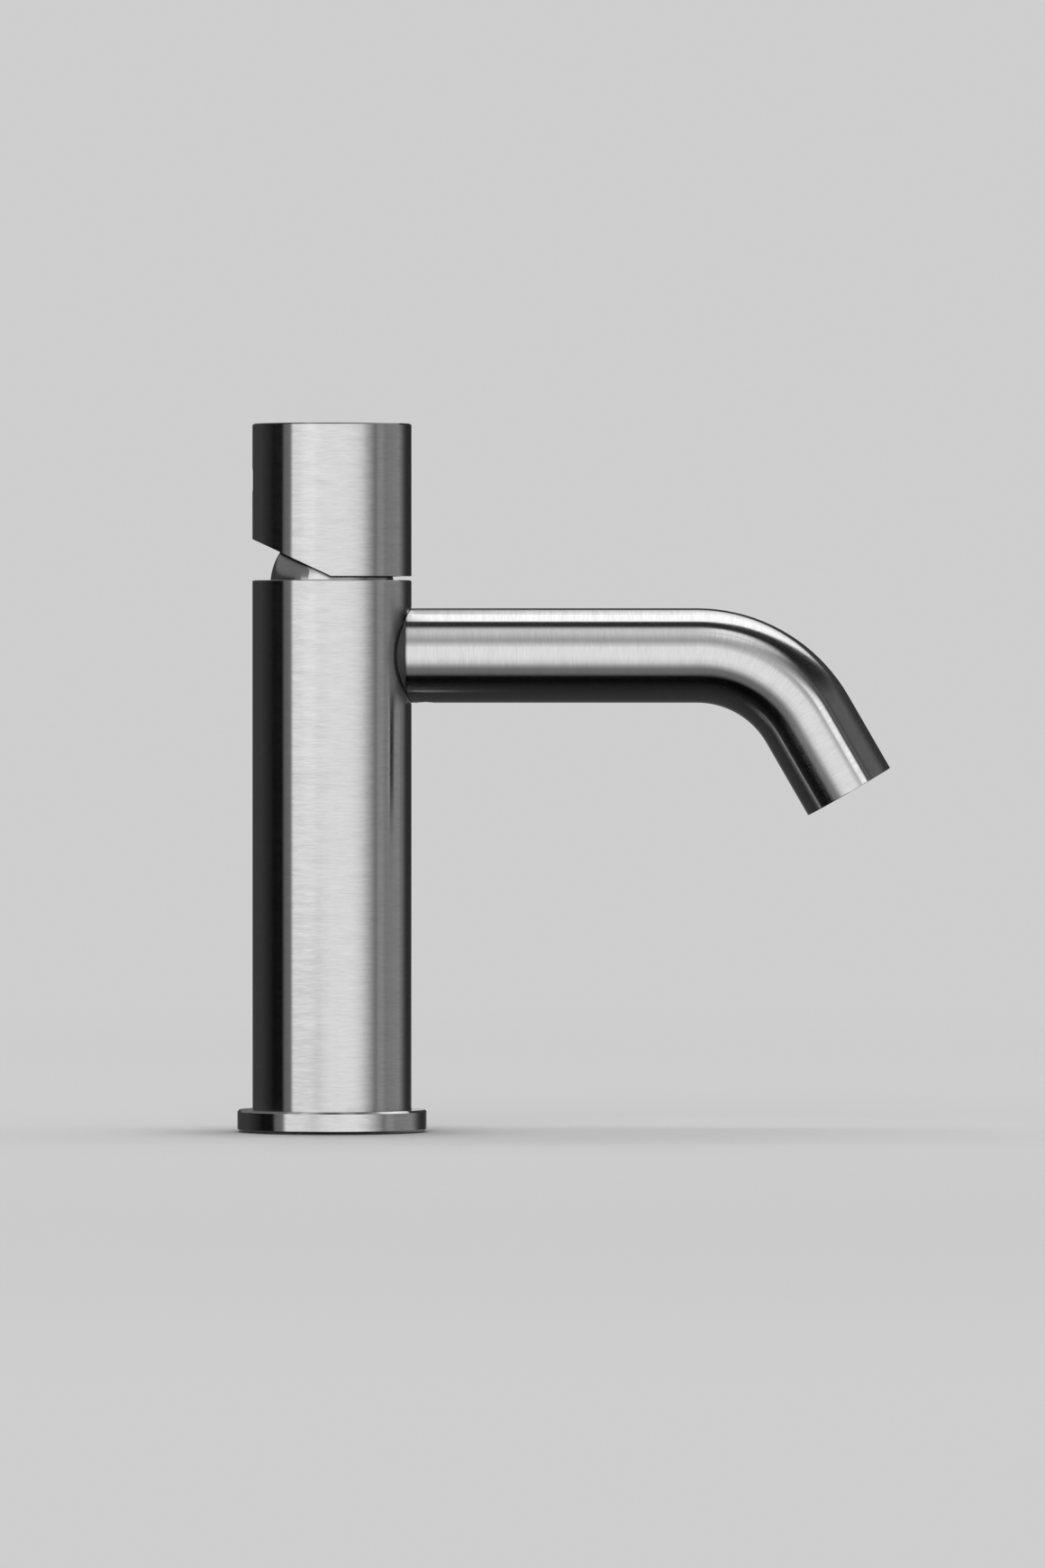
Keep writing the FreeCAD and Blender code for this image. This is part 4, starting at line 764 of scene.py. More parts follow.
class InnerLook(bpy.types.PropertyGroup):
    """Colours of the pieces inside and under the mixer."""

    brass_colour: bpy.props.FloatVectorProperty(
        name="Brass colour",
        description="Colour of the machined brass",
        subtype="COLOR",
        size=3,
        min=0.0,
        max=1.0,
        default=(0.71, 0.52, 0.25),
    )
    zinc_colour: bpy.props.FloatVectorProperty(
        name="Zinc colour",
        description="Colour of the zinc plated steel",
        subtype="COLOR",
        size=3,
        min=0.0,
        max=1.0,
        default=(0.6, 0.61, 0.62),
    )
    rubber_colour: bpy.props.FloatVectorProperty(
        name="Rubber colour",
        description="Colour of the seals",
        subtype="COLOR",
        size=3,
        min=0.0,
        max=1.0,
        default=(0.022, 0.022, 0.024),
    )
    grey_rubber_colour: bpy.props.FloatVectorProperty(
        name="Grey rubber colour",
        description="Colour of the ring between spout and column",
        subtype="COLOR",
        size=3,
        min=0.0,
        max=1.0,
        default=(0.052, 0.052, 0.053),
    )
    grey_plastic_colour: bpy.props.FloatVectorProperty(
        name="Grey plastic colour",
        description="Colour of the cartridge's housing and of the aerator",
        subtype="COLOR",
        size=3,
        min=0.0,
        max=1.0,
        default=(0.42, 0.43, 0.44),
    )
    white_plastic_colour: bpy.props.FloatVectorProperty(
        name="White plastic colour",
        description="Colour of the cartridge's moving carriers",
        subtype="COLOR",
        size=3,
        min=0.0,
        max=1.0,
        default=(0.78, 0.78, 0.75),
    )
    plug_colour: bpy.props.FloatVectorProperty(
        name="Plug colour",
        description="Colour of the handle's plug",
        subtype="COLOR",
        size=3,
        min=0.0,
        max=1.0,
        default=(0.16, 0.16, 0.165),
    )
    ceramic_colour: bpy.props.FloatVectorProperty(
        name="Ceramic colour",
        description="Colour of the valve discs",
        subtype="COLOR",
        size=3,
        min=0.0,
        max=1.0,
        default=(0.86, 0.84, 0.79),
    )


class ThreadSizes(bpy.types.PropertyGroup):
    """Sizes of the fixing stud's thread."""

    pitch: bpy.props.FloatProperty(
        name="Pitch",
        description="Rise of the thread in one turn",
        unit="LENGTH",
        min=0.0005,
        max=0.003,
        default=0.00125,
    )
    depth: bpy.props.FloatProperty(
        name="Depth",
        description="Depth of the thread",
        unit="LENGTH",
        min=0.0002,
        max=0.0015,
        default=0.00065,
    )
    steps_around: bpy.props.IntProperty(
        name="Steps around",
        description="Faces round the stud",
        min=12,
        max=64,
        default=32,
    )
    steps_per_turn: bpy.props.IntProperty(
        name="Steps per turn",
        description="Faces along one turn of the thread",
        min=4,
        max=16,
        default=8,
    )
    slot_width: bpy.props.FloatProperty(
        name="Slot width",
        description="Width of the driver slot in the stud's lower end",
        unit="LENGTH",
        min=0.0005,
        max=0.003,
        default=0.0015,
    )
    slot_depth: bpy.props.FloatProperty(
        name="Slot depth",
        description="Depth of the driver slot in the stud's lower end",
        unit="LENGTH",
        min=0.0005,
        max=0.004,
        default=0.0016,
    )


class ScreenSizes(bpy.types.PropertyGroup):
    """Sizes of the outlet's honeycomb screen."""

    cell_width: bpy.props.FloatProperty(
        name="Cell width",
        description="Distance between the centres of two cells",
        unit="LENGTH",
        min=0.0008,
        max=0.004,
        default=0.0015,
    )
    wall: bpy.props.FloatProperty(
        name="Wall",
        description="Thickness of the walls between cells",
        unit="LENGTH",
        min=0.0001,
        max=0.001,
        default=0.0003,
    )


class StudioLook(bpy.types.PropertyGroup):
    """Floor, backdrop, lamps and camera."""

    floor_colour: bpy.props.FloatVectorProperty(
        name="Floor colour",
        description="Colour of the deck and of the backdrop",
        subtype="COLOR",
        size=3,
        min=0.0,
        max=1.0,
        default=(0.62, 0.62, 0.62),
    )
    lens: bpy.props.FloatProperty(
        name="Lens",
        description="Focal length of the camera",
        subtype="DISTANCE_CAMERA",
        min=50.0,
        max=600.0,
        default=303.3,
    )
    distance: bpy.props.FloatProperty(
        name="Distance",
        description="From the camera to the mixer",
        unit="LENGTH",
        min=1.0,
        max=10.0,
        default=3.32,
    )
    front_level: bpy.props.FloatProperty(
        name="Front level",
        description="Brightness of the front soft box",
        min=0.0,
        max=5.0,
        default=1.75,
    )
    top_level: bpy.props.FloatProperty(
        name="Top level",
        description="Brightness of the soft box above",
        min=0.0,
        max=5.0,
        default=1.97,
    )
    sky_level: bpy.props.FloatProperty(
        name="Room level",
        description="Brightness of the room's own light",
        min=0.0,
        max=2.0,
        default=0.49,
    )


# Pieces


class MIXER_OT_steel(bpy.types.Operator):
    """Brushed stainless steel on column, flange, handle and spout, and a finer finish on the dome"""

    bl_idname = "mixer.steel"
    bl_label = "Steel"

    def execute(self, context):
        look = context.scene.mixer_steel
        turned, bent, hairlines = make_turned_grain(), make_tube_grain(), make_hairlines()
        # Painted shade at the joint and inside the handle, and a painted dark reflection on the handle's
        # top chamfer, each with its tone
        joint = (joint_shade, look.joint_shade_tone)
        inner = (inner_shade, look.inner_shade_tone)
        edge = (edge_painted_reflection, look.edge_reflection_tone)
        round_steel = brushed_steel("steel_brushed_round", turned, hairlines, look, (joint, inner, edge))
        tube_steel = brushed_steel("steel_brushed_tube", bent, hairlines, look, (joint,))
        dome_steel = brushed_steel(
            "steel_turned_dome",
            turned,
            hairlines,
            look,
            stretch=0.6,
            density=1.6,
            gloss=0.8,
            contrast=0.5,
        )
        dress(round_steel, BRUSHED_ROUND)
        dress(tube_steel, ("spout_tube",))
        dress(dome_steel, ("dome_cover",))
        return {"FINISHED"}


class MIXER_OT_inner_finishes(bpy.types.Operator):
    """Brass, plated steel, rubber, plastics and ceramic on the pieces inside and under the mixer"""

    bl_idname = "mixer.inner_finishes"
    bl_label = "Inner Finishes"

    def execute(self, context):
        look = context.scene.mixer_inner
        dress(machined_metal("brass_machined", look.brass_colour, 0.24, 0.00035, 0.35), BRASS_NODES)
        dress(machined_metal("zinc_plated", look.zinc_colour, 0.3, 0.0005, 0.5), PLATED_NODES)
        moulded = (
            ("plastic_grey", look.grey_plastic_colour, 0.42, 0.00012, GREY_PLASTIC_NODES),
            ("plastic_white", look.white_plastic_colour, 0.38, 0.00012, WHITE_PLASTIC_NODES),
            ("plastic_plug", look.plug_colour, 0.4, 0.00009, ("handle_plug",)),
            ("rubber_moulded", look.rubber_colour, 0.6, 0.00015, RUBBER_NODES),
            ("rubber_grey", look.grey_rubber_colour, 0.6, 0.00015, ("saddle_seal",)),
        )
        for name, colour, roughness, grain_size, node_names in moulded:
            dress(moulded_plastic(name, colour, roughness, grain_size), node_names)
        dress(lapped_ceramic("ceramic_lapped", look.ceramic_colour), CERAMIC_NODES)
        return {"FINISHED"}


def new_geometry_tree(name, inputs):
    """An empty geometry tree with one geometry output, and its named inputs."""
    tree = bpy.data.node_groups.new(name, "GeometryNodeTree")
    tree.interface.new_socket("Geometry", in_out="OUTPUT", socket_type="NodeSocketGeometry")
    for label, kind in inputs:
        tree.interface.new_socket(label, in_out="INPUT", socket_type="NodeSocket" + kind)
    return tree, add_node(tree, "NodeGroupInput").outputs


def made(tree, kind, inputs=None, **settings):
    """The first output of a new node."""
    return add_node(tree, kind, inputs, **settings).outputs[0]


def moved(tree, geometry, **changes):
    """Geometry moved, turned or both."""
    return made(tree, "GeometryNodeTransform", {"Geometry": geometry, **changes})


def hand_out(tree, geometry, material):
    """Make the geometry real, give it its material and make it the tree's result."""
    whole = made(tree, "GeometryNodeRealizeInstances", {0: geometry})
    finished = made(tree, "GeometryNodeSetMaterial", {"Geometry": whole, "Material": material})
    add_node(tree, "NodeGroupOutput", {"Geometry": finished})


def plain_piece(name, tree, values):
    """Run a geometry tree with its named inputs and keep the result as a plain mesh piece."""
    holder_mesh = bpy.data.meshes.new(name + "_start")
    holder = bpy.data.objects.new(name + "_start", holder_mesh)
    bpy.context.collection.objects.link(holder)
    modifier = holder.modifiers.new(name, "NODES")
    modifier.node_group = tree
    for item in tree.interface.items_tree:
        if item.item_type == "SOCKET" and item.in_out == "INPUT" and item.name in values:
            modifier[item.identifier] = values[item.name]
    bpy.context.view_layer.update()
    evaluated = holder.evaluated_get(bpy.context.evaluated_depsgraph_get())
    mesh = bpy.data.meshes.new_from_object(evaluated)
    mesh.name = name
    piece = bpy.data.objects.new(name, mesh)
    bpy.context.collection.objects.link(piece)
    holder.modifiers.clear()
    bpy.data.objects.remove(holder)
    bpy.data.meshes.remove(holder_mesh)
    if not mesh.polygons:
        raise RuntimeError(name + " came out empty")
    return piece


def make_thread_tree():
    """A threaded rod as a grid wrapped round an axis, with a driver slot in its lower end."""
    inputs = [
        ("Bottom", "Float"),
        ("Length", "Float"),
        ("Crest Radius", "Float"),
        ("Depth", "Float"),
        ("Pitch", "Float"),
        ("Centre X", "Float"),
        ("Steps Around", "Int"),
        ("Steps Along", "Int"),
        ("Slot Width", "Float"),
        ("Slot Depth", "Float"),
        ("Material", "Material"),
    ]
    tree, take = new_geometry_tree("threaded_rod", inputs)
    # One row more than steps, and at each end a row that is drawn in to close the rod
    rows = total(tree, take["Steps Along"], 3.0)
    columns = total(tree, take["Steps Around"], 1.0)
    grid_size = {"Size X": 1.0, "Size Y": 1.0, "Vertices X": columns, "Vertices Y": rows}
    grid = made(tree, "GeometryNodeMeshGrid", grid_size)
    x, y, _ = parts_of(tree, made(tree, "GeometryNodeInputPosition"))
    turn = total(tree, x, 0.5)
    row = number(tree, "ROUND", product(tree, total(tree, y, 0.5), difference(tree, rows, 1.0)))
    step = quotient(tree, difference(tree, row, 1.0), take["Steps Along"], clamped=True)
    rise = product(tree, step, take["Length"])
    # Straight flanks between a flat crest and a flat root. At the ends the thread leads in
    phase = number(tree, "FRACT", difference(tree, quotient(tree, rise, take["Pitch"]), turn))
    wave = number(tree, "ABSOLUTE", difference(tree, product(tree, phase, 2.0), 1.0))
    groove = difference(tree, product(tree, wave, 1.5), 0.2, clamped=True)
    from_end = number(tree, "MINIMUM", rise, difference(tree, take["Length"], rise))
    lead = difference(tree, 1.0, quotient(tree, from_end, take["Depth"]), clamped=True)
    cut = number(tree, "MAXIMUM", groove, lead)
    radius = difference(tree, take["Crest Radius"], product(tree, cut, take["Depth"]))
    after_first = number(tree, "GREATER_THAN", row, 0.5)
    before_last = number(tree, "LESS_THAN", row, difference(tree, rows, 1.5))
    radius = product(tree, radius, product(tree, after_first, before_last))
    angle = product(tree, turn, math.tau)
    wrapped = joined(
        tree,
        total(tree, product(tree, number(tree, "COSINE", angle), radius), take["Centre X"]),
        product(tree, number(tree, "SINE", angle), radius),
        total(tree, rise, take["Bottom"]),
    )
    rod = made(tree, "GeometryNodeSetPosition", {"Geometry": grid, "Position": wrapped})
    weld = 0.000002
    rod = made(tree, "GeometryNodeMergeByDistance", {"Geometry": rod, "Distance": weld})
    slot_size = joined(
        tree,
        product(tree, take["Crest Radius"], 3.0),
        take["Slot Width"],
        product(tree, take["Slot Depth"], 2.0),
    )
    slot = made(tree, "GeometryNodeMeshCube", {"Size": slot_size})
    slot = moved(tree, slot, Translation=joined(tree, take["Centre X"], 0.0, take["Bottom"]))
    slotted = made(
        tree,
        "GeometryNodeMeshBoolean",
        {"Mesh 1": rod, "Mesh 2": slot},
        operation="DIFFERENCE",
        solver="EXACT",
    )
    hand_out(tree, slotted, take["Material"])
    return tree


class MIXER_OT_stud(bpy.types.Operator):
    """The fixing stud with its real thread and driver slot"""

    bl_idname = "mixer.stud"
    bl_label = "Fixing Stud"

    def execute(self, context):
        sizes = context.scene.mixer_thread
        low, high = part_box("fixing_stud")
        length = high.z - low.z
        material = bpy.data.materials["zinc_plated"]
        piece = plain_piece(
            "fixing_stud_thread",
            make_thread_tree(),
            {
                "Bottom": low.z,
                "Length": length,
                "Crest Radius": (high.x - low.x) / 2,
                "Depth": sizes.depth,
                "Pitch": sizes.pitch,
                "Centre X": (low.x + high.x) / 2,
                "Steps Around": sizes.steps_around,
                "Steps Along": round(length / sizes.pitch * sizes.steps_per_turn),
                "Slot Width": sizes.slot_width,
                "Slot Depth": sizes.slot_depth,
                "Material": material,
            },
        )
        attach(piece, MIXER_BODY)
        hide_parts("fixing_stud")
        return {"FINISHED"}


def ring_bar(tree, width, height, radius, sides):
    """A bar of a width and a height, closed to a ring with a number of sides."""
    section = made(tree, "GeometryNodeCurvePrimitiveQuadrilateral", {"Width": width, "Height": height})
    line = made(tree, "GeometryNodeCurvePrimitiveCircle", {"Resolution": sides, "Radius": radius})
    return made(tree, "GeometryNodeCurveToMesh", {"Curve": line, "Profile Curve": section})


def make_honeycomb_tree():
    """Six-sided cells in staggered rows inside a round rim, stood on the cut end of the spout."""
    inputs = [
        ("Radius", "Float"),
        ("Height", "Float"),
        ("Cell Width", "Float"),
        ("Wall", "Float"),
        ("Lift", "Float"),
        ("Outlet", "Vector"),
        ("Tilt", "Float"),
        ("Material", "Material"),
    ]
    tree, take = new_geometry_tree("outlet_honeycomb", inputs)
    grid_size = {"Size X": 1.0, "Size Y": 1.0, "Vertices X": SCREEN_CELLS, "Vertices Y": SCREEN_CELLS}
    grid = made(tree, "GeometryNodeMeshGrid", grid_size)
    x, y, _ = parts_of(tree, made(tree, "GeometryNodeInputPosition"))
    row = number(tree, "ROUND", product(tree, y, SCREEN_CELLS - 1.0))
    column = number(tree, "ROUND", product(tree, x, SCREEN_CELLS - 1.0))
    stagger = product(tree, number(tree, "FLOORED_MODULO", row, 2.0), 0.5)
    cell_x = product(tree, total(tree, column, stagger), take["Cell Width"])
    cell_y = product(tree, row, product(tree, take["Cell Width"], math.sqrt(3) / 2))
    place = joined(tree, cell_x, cell_y, 0.0)
    centres = made(tree, "GeometryNodeSetPosition", {"Geometry": grid, "Position": place})
    off_middle = vector(tree, "LENGTH", made(tree, "GeometryNodeInputPosition"), result="Value")
    inside_rim = product(tree, take["Cell Width"], 0.45)
    reach = difference(tree, take["Radius"], inside_rim)
    outside = made(
        tree,
        "FunctionNodeCompare",
        {0: off_middle, 1: reach},
        data_type="FLOAT",
        operation="GREATER_THAN",
    )
    centres = made(
        tree,
        "GeometryNodeDeleteGeometry",
        {"Geometry": centres, "Selection": outside},
        domain="POINT",
    )
    cell_radius = quotient(tree, take["Cell Width"], math.sqrt(3))
    cell = ring_bar(tree, take["Wall"], take["Height"], cell_radius, sides=6)
    cell = moved(tree, cell, Rotation=(0.0, 0.0, math.radians(30)))
    cells = made(tree, "GeometryNodeInstanceOnPoints", {"Points": centres, "Instance": cell})
    rim_width = product(tree, take["Wall"], 3.0)
    rim_radius = difference(tree, take["Radius"], quotient(tree, rim_width, 2.0))
    rim = ring_bar(tree, rim_width, take["Height"], rim_radius, sides=64)
    both = add_node(tree, "GeometryNodeJoinGeometry")
    for geometry in (cells, rim):
        tree.links.new(geometry, both.inputs[0])
    lifted = moved(tree, both.outputs[0], Translation=joined(tree, 0.0, 0.0, take["Lift"]))
    tilt = joined(tree, 0.0, take["Tilt"], 0.0)
    stood = moved(tree, lifted, Translation=take["Outlet"], Rotation=tilt)
    hand_out(tree, stood, take["Material"])
    return tree


class MIXER_OT_outlet_screen(bpy.types.Operator):
    """The honeycomb screen in the spout's outlet"""

    bl_idname = "mixer.outlet_screen"
    bl_label = "Outlet Screen"

    def execute(self, context):
        sizes = context.scene.mixer_screen
        colour = context.scene.mixer_inner.white_plastic_colour
        material = moulded_plastic("screen_plastic", colour, 0.35, 0.0001)
        piece = plain_piece(
            "outlet_honeycomb",
            make_honeycomb_tree(),
            {
                "Radius": SCREEN_RADIUS,
                "Height": SCREEN_HEIGHT,
                "Cell Width": sizes.cell_width,
                "Wall": sizes.wall,
                "Lift": SCREEN_LIFT,
                "Outlet": OUTLET_PLACE,
                "Tilt": BEND_ANGLE - math.radians(90),
                "Material": material,
            },
        )
        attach(piece, MIXER_BODY)
        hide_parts("aerator_mesh")
        return {"FINISHED"}


# Studio


def stage_piece(name, corners, faces, material):
    """A mesh that belongs to the studio and not to the mixer."""
    mesh = bpy.data.meshes.new(name)
    mesh.from_pydata(corners, [], faces)
    mesh.materials.append(material)
    piece = bpy.data.objects.new(name, mesh)
    bpy.context.collection.objects.link(piece)
    return piece


def swept_round(name, profile, material):
    """A profile of radii and heights swept round the mixer."""
    corners = []
    for radius, height in profile:
        for step in range(ROUND_STEPS):
            angle = math.tau * step / ROUND_STEPS
            corners.append((radius * math.cos(angle), radius * math.sin(angle), height))
    faces = []
    for ring in range(len(profile) - 1):
        inner, outer = ring * ROUND_STEPS, (ring + 1) * ROUND_STEPS
        for step in range(ROUND_STEPS):
            following = (step + 1) % ROUND_STEPS
            faces.append((inner + step, inner + following, outer + following, outer + step))
    piece = stage_piece(name, corners, faces, material)
    for polygon in piece.data.polygons:
        polygon.use_smooth = True
    return piece


def deck_and_backdrop(material):
    """The deck with its hole for the mixer, and a backdrop that sweeps up from the deck's edge."""
    profile = [(DECK_HOLE, DECK_BOTTOM)]
    for radius in (DECK_HOLE, *DECK_RINGS, DECK_EDGE):
        profile.append((radius, DECK_TOP))
    deck = swept_round("deck", profile, material)
    deck.visible_glossy = False
    profile = []
    for step in range(SWEEP_STEPS + 1):
        angle = math.radians(90) * step / SWEEP_STEPS
        radius = DECK_EDGE + SWEEP_RADIUS * math.sin(angle)
        profile.append((radius, DECK_TOP + SWEEP_RADIUS - SWEEP_RADIUS * math.cos(angle)))
    profile.append((DECK_EDGE + SWEEP_RADIUS, BACKDROP_TOP))
    swept_round("backdrop", profile, material)


def deck_material(look):
    """Plain pale matt surface. Far off it shows its own colour to the camera and in reflections."""
    material, tree, surface = new_material("deck_matt")
    material.cycles.emission_sampling = "NONE"
    place = object_place(tree)
    grain = noise(tree, place, scale=900.0, detail=3.0, roughness=0.6)
    colour = (*look.floor_colour, 1.0)
    darker = shaded(look.floor_colour, 0.92)
    tint = blended(tree, spread(tree, grain, 0.3, 0.7, 0.0, 0.12), colour, darker)
    feed(tree, surface, Base_Color=tint, Roughness=0.85, Specular_IOR_Level=0.0)
    away = vector(tree, "LENGTH", place, result="Value")
    far = spread(tree, away, FADE_START, FADE_END, 0.0, 1.0, "SMOOTHSTEP")
    rays = add_node(tree, "ShaderNodeLightPath").outputs
    seen = number(tree, "MAXIMUM", rays["Is Camera Ray"], rays["Is Glossy Ray"])
    seen = number(tree, "MAXIMUM", seen, rays["Is Transmission Ray"])
    own = add_node(tree, "ShaderNodeEmission", {"Color": colour})
    mix = add_node(
        tree,
        "ShaderNodeMixShader",
        {0: product(tree, far, seen), 1: surface.outputs[0], 2: own.outputs[0]},
    )
    outlet = next(node for node in tree.nodes if node.type == "OUTPUT_MATERIAL")
    tree.links.new(mix.outputs[0], outlet.inputs["Surface"])
    return material


def card_material(name, levels):
    """A card's brightness by the angle that it shows. The card is clear from behind."""
    material = bpy.data.materials.new(name)
    material.use_nodes = True
    material.cycles.emission_sampling = "NONE"
    tree = material.node_tree
    tree.nodes.clear()
    first, last = levels[0][0], levels[-1][0]
    angle = add_node(tree, "ShaderNodeAttribute", attribute_name=CARD_ANGLE).outputs["Fac"]
    ramp = add_node(tree, "ShaderNodeValToRGB", {"Fac": spread(tree, angle, first, last, 0.0, 1.0)})
    stops = ramp.color_ramp.elements
    stops.remove(stops[-1])
    for index, (degrees, level) in enumerate(levels):
        position = (degrees - first) / (last - first)
        stop = stops[0] if index == 0 else stops.new(position)
        stop.position = position
        stop.color = (level / CARD_GAIN, level / CARD_GAIN, level / CARD_GAIN, 1.0)
    glow = add_node(tree, "ShaderNodeEmission", {"Color": ramp.outputs["Color"], "Strength": CARD_GAIN})
    clear = add_node(tree, "ShaderNodeBsdfTransparent")
    behind = add_node(tree, "ShaderNodeNewGeometry").outputs["Backfacing"]
    mix = add_node(tree, "ShaderNodeMixShader", {0: behind, 1: glow.outputs[0], 2: clear.outputs[0]})
    add_node(tree, "ShaderNodeOutputMaterial", {"Surface": mix.outputs[0]})
    return material


def reflection_card(name, rows, material):
    """A card that stands only in reflections. Each row holds corners and the angles that they show."""
    width = len(rows[0])
    corners = [place for row in rows for place, _ in row]
    faces = []
    for row in range(len(rows) - 1):
        for step in range(width - 1):
            start = row * width + step
            faces.append((start, start + 1, start + width + 1, start + width))
    card = stage_piece(name, corners, faces, material)
    shown = card.data.attributes.new(CARD_ANGLE, "FLOAT", "POINT")
    shown.data.foreach_set("value", [angle for row in rows for _, angle in row])
    card.visible_camera = False
    card.visible_diffuse = False
    card.visible_shadow = False


def steps_between(first, last, stride):
    """Even values from the first to the last, about a stride apart."""
    count = max(1, round(abs(last - first) / stride))
    return [first + (last - first) * step / count for step in range(count + 1)]


def round_card(name, first, last, top, material):
    """A round wall between two bearings, from well below the deck up to an elevation."""
    rows = []
    for elevation in (WALL_BOTTOM, top):
        row = []
        for bearing in steps_between(last, first, ROUND_STRIDE):
            turn = math.radians(bearing)
            x = FOOT_RADIUS * math.sin(turn / 2) + CARD_DISTANCE * math.sin(turn)
            y = -FOOT_RADIUS * math.cos(turn / 2) - CARD_DISTANCE * math.cos(turn)
            height = SPOUT_Z + CARD_DISTANCE * math.tan(math.radians(elevation))
            row.append(((x, y, height), bearing))
        rows.append(row)
    reflection_card(name, rows, material)


def high_card(name, bearings, elevations, distance, material):
    """A card bent round the mixer above the walls, between two bearings and two elevations."""
    rows = []
    for elevation in steps_between(*elevations, BENT_STRIDE):
        row = []
        for bearing in reversed(steps_between(*bearings, BENT_STRIDE)):
            turn, rise = math.radians(bearing), math.radians(elevation)
            x = distance * math.sin(turn) * math.cos(rise)
            y = -distance * math.cos(turn) * math.cos(rise)
            row.append(((x, y, SPOUT_Z + distance * math.sin(rise)), bearing))
        rows.append(row)
    reflection_card(name, rows, material)


def canopy_card(name, ends, material):
    """A card bent over the spout from front to back, from rows of an angle, a left end and a right end."""
    rows = []
    for degrees, left, right in ends:
        angle = math.radians(degrees)
        y = -CARD_DISTANCE * math.cos(angle)
        z = SPOUT_Z + CARD_DISTANCE * math.sin(angle)
        rows.append([((right, y, z), degrees), ((left, y, z), degrees)])
    reflection_card(name, rows, material)


def low_card(name, spans, turns, distance, material):
    """A card under the mixer, on a sphere.

    A span is an angle from the front, and a turn goes from the right over the top.
    """
    rows = []
    for span in steps_between(*spans, BENT_STRIDE):
        row = []
        for turn in steps_between(*turns, BENT_STRIDE):
            away, round_front = math.radians(span), math.radians(turn)
            x = distance * math.sin(away) * math.cos(round_front)
            z = SPOUT_Z + distance * math.sin(away) * math.sin(round_front)
            row.append(((TAIL_X + x, -distance * math.cos(away), z), span))
        rows.append(row)
    reflection_card(name, rows, material)


def soft_box(name, place, aim, width, height, level):
    """A soft box for the deck, the rubber and the plastics. The steel shows the cards in its place."""
    lamp = bpy.data.lights.new(name, "AREA")
    lamp.shape = "RECTANGLE"
    lamp.size = width
    lamp.size_y = height
    lamp.energy = level * math.pi * width * height
    box = bpy.data.objects.new(name, lamp)
    bpy.context.collection.objects.link(box)
    box.location = place
    direction = Vector(aim) - Vector(place)
    box.rotation_mode = "QUATERNION"
    box.rotation_quaternion = direction.to_track_quat("-Z", "Y")
    box.visible_camera = False
    box.visible_glossy = False


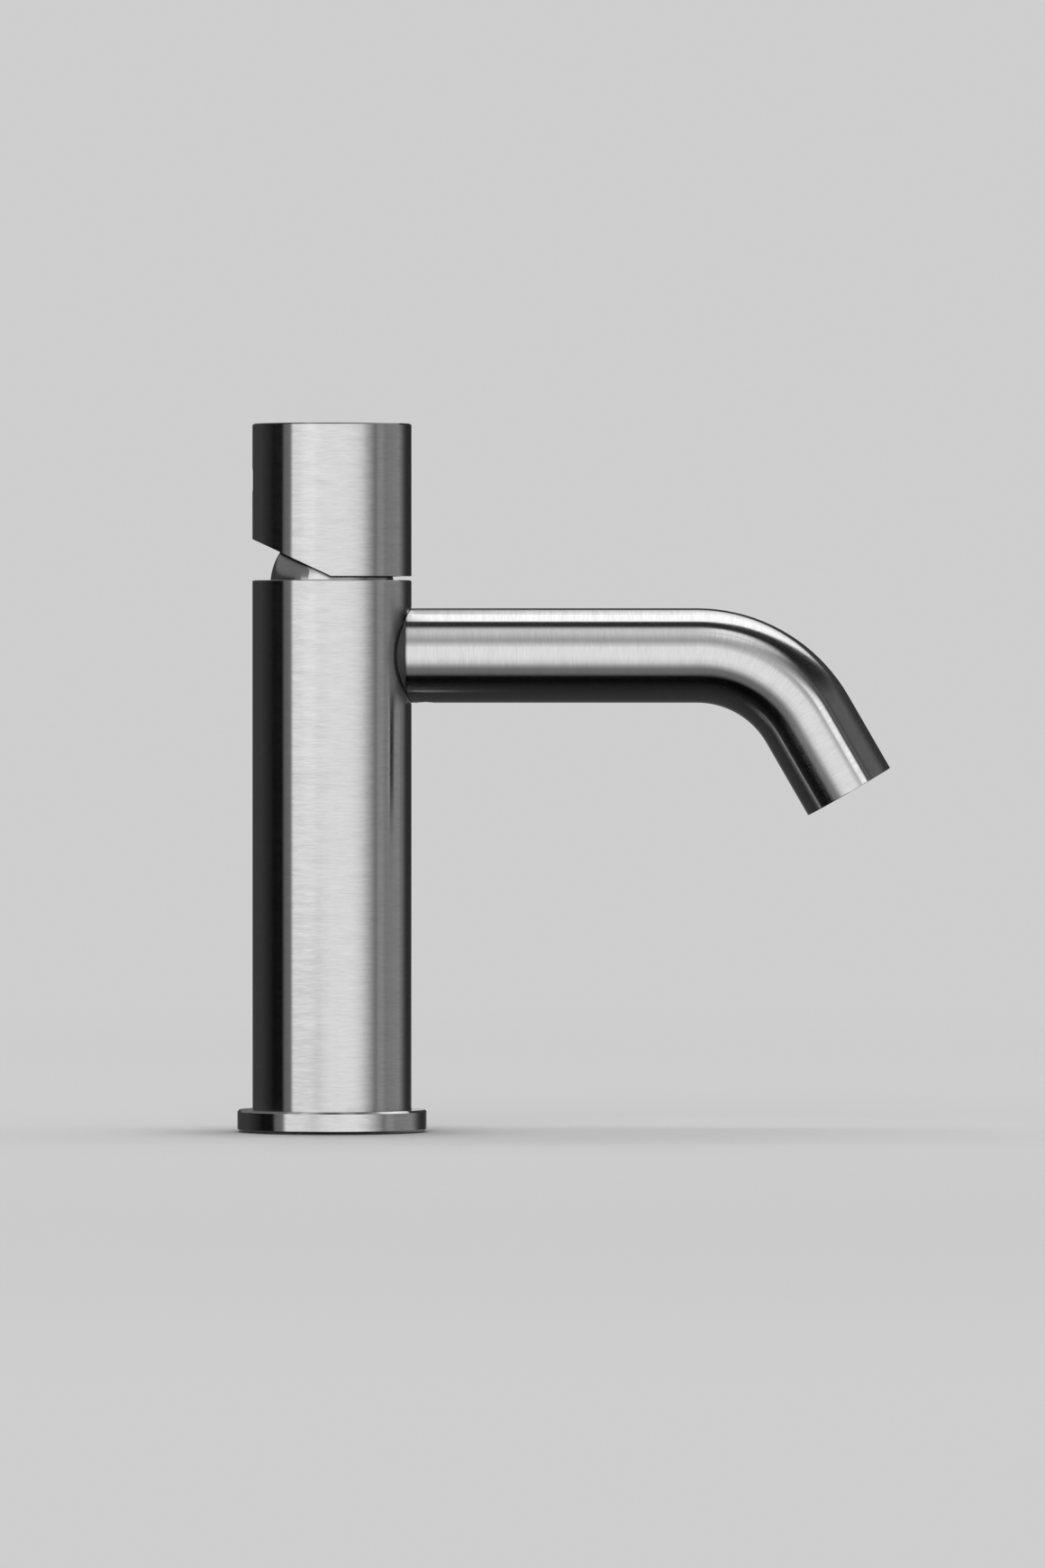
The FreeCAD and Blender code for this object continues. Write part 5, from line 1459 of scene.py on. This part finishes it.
class MIXER_OT_studio(bpy.types.Operator):
    """Deck, backdrop, soft boxes, reflection cards, room light and camera"""

    bl_idname = "mixer.studio"
    bl_label = "Studio"

    def execute(self, context):
        look = context.scene.mixer_studio
        deck_and_backdrop(deck_material(look))
        self.lamps(look)
        self.cards()
        self.room(context.scene, look)
        self.camera(context.scene, look)
        return {"FINISHED"}

    def lamps(self, look):
        """One wide box in front and one above."""
        soft_box(
            "front_box",
            place=(-0.6, -2.3, 1.7),
            aim=(0.05, 0.0, 0.05),
            width=2.0,
            height=1.2,
            level=look.front_level,
        )
        soft_box(
            "top_box",
            place=(0.1, 0.5, 2.4),
            aim=(0.05, 0.0, 0.0),
            width=3.0,
            height=2.4,
            level=look.top_level,
        )

    def cards(self):
        """White, grey and black cards on all sides of the mixer, which give the steel its bands."""
        all_round = card_material("cards_round", ROUND_LEVELS)
        over = card_material("cards_over", OVER_LEVELS)
        grey = card_material("card_left_grey", LEFT_GREY_LEVELS)
        white = card_material("card_right_white", RIGHT_WHITE_LEVELS)
        black = card_material("card_right_black", RIGHT_BLACK_LEVELS)
        right = card_material("cards_right", RIGHT_LEVELS)
        right_high = card_material("cards_right_high", RIGHT_HIGH_LEVELS)
        bend = card_material("card_bend", BEND_LEVELS)
        tail_under = card_material("cards_tail_under", TAIL_UNDER_LEVELS)
        under = card_material("cards_under", UNDER_LEVELS)
        right_low = card_material("card_right_low", RIGHT_LOW_LEVELS)
        round_card("left_card", -180.0, -60.0, 30.0, all_round)
        round_card("front_card", -60.0, 60.0, 21.5, all_round)
        round_card("right_card", 60.0, 180.0, 12.0, all_round)
        high_card("left_high_card", (-180.0, -45.0), (11.5, 60.0), NEARER, grey)
        high_card("right_grey_card", (21.0, 56.0), (12.0, 45.0), NEARER, right)
        high_card("right_high_card", (56.0, 180.0), (10.0, 33.0), NEARER, right_high)
        high_card("right_black_card", (50.0, 155.0), (32.0, 76.0), FARTHER, black)
        high_card("right_white_card", (35.0, 50.5), (14.0, 24.0), NEAREST, white)
        canopy_card("low_canopy_card", LOW_CANOPY, over)
        canopy_card("high_canopy_card", HIGH_CANOPY, over)
        canopy_card("white_canopy_card", WHITE_CANOPY, over)
        canopy_card("bend_canopy_card", BEND_CANOPY, bend)
        low_card("left_low_card", LOW_SPANS, (195.0, 262.0), NEARER, tail_under)
        low_card("middle_low_card", LOW_SPANS, (262.0, 298.0), NEARER, under)
        low_card("right_low_card", LOW_SPANS, (298.0, 340.0), NEARER, right_low)

    def room(self, scene, look):
        """The room's own even light."""
        world = bpy.data.worlds.new("room")
        scene.world = world
        world.use_nodes = True
        background = world.node_tree.nodes["Background"]
        background.inputs["Color"].default_value = (1.0, 1.0, 1.0, 1.0)
        background.inputs["Strength"].default_value = look.sky_level

    def camera(self, scene, look):
        """The long lens, almost level, looking across the spout."""
        data = bpy.data.cameras.new("camera")
        data.lens = look.lens
        data.sensor_width = 36.0
        data.clip_start = 0.1
        data.clip_end = 30.0
        camera = bpy.data.objects.new("camera", data)
        bpy.context.collection.objects.link(camera)
        place = Vector((MIDDLE_X, -look.distance, CAMERA_HEIGHT))
        aim = Vector((MIDDLE_X, 0.0, AIM_HEIGHT))
        camera.location = place
        camera.rotation_mode = "QUATERNION"
        camera.rotation_quaternion = (aim - place).to_track_quat("-Z", "Y")
        scene.camera = camera
        scene.view_settings.view_transform = "Standard"


OPERATORS = (
    MIXER_OT_steel,
    MIXER_OT_inner_finishes,
    MIXER_OT_stud,
    MIXER_OT_outlet_screen,
    MIXER_OT_studio,
)
SETTINGS = (
    ("mixer_steel", SteelLook),
    ("mixer_inner", InnerLook),
    ("mixer_thread", ThreadSizes),
    ("mixer_screen", ScreenSizes),
    ("mixer_studio", StudioLook),
)


class MIXER_PT_panel(bpy.types.Panel):
    """The mixer's settings and steps"""

    bl_label = "Mixer"
    bl_idname = "MIXER_PT_panel"
    bl_space_type = "VIEW_3D"
    bl_region_type = "UI"
    bl_category = "Mixer"

    def draw(self, context):
        for name, group in SETTINGS:
            box = self.layout.box()
            box.label(text=group.__doc__)
            settings = getattr(context.scene, name)
            for field in group.__annotations__:
                box.prop(settings, field)
        for operator in OPERATORS:
            self.layout.operator(operator.bl_idname)


def register():
    for name, group in SETTINGS:
        bpy.utils.register_class(group)
        setattr(bpy.types.Scene, name, bpy.props.PointerProperty(type=group))
    for operator in OPERATORS:
        bpy.utils.register_class(operator)
    bpy.utils.register_class(MIXER_PT_panel)


def unregister():
    bpy.utils.unregister_class(MIXER_PT_panel)
    for operator in reversed(OPERATORS):
        bpy.utils.unregister_class(operator)
    for name, group in reversed(SETTINGS):
        delattr(bpy.types.Scene, name)
        bpy.utils.unregister_class(group)


def main():
    register()
    bpy.ops.mixer.steel()
    bpy.ops.mixer.inner_finishes()
    bpy.ops.mixer.stud()
    bpy.ops.mixer.outlet_screen()
    bpy.ops.mixer.studio()


if __name__ == "__main__":
    main()
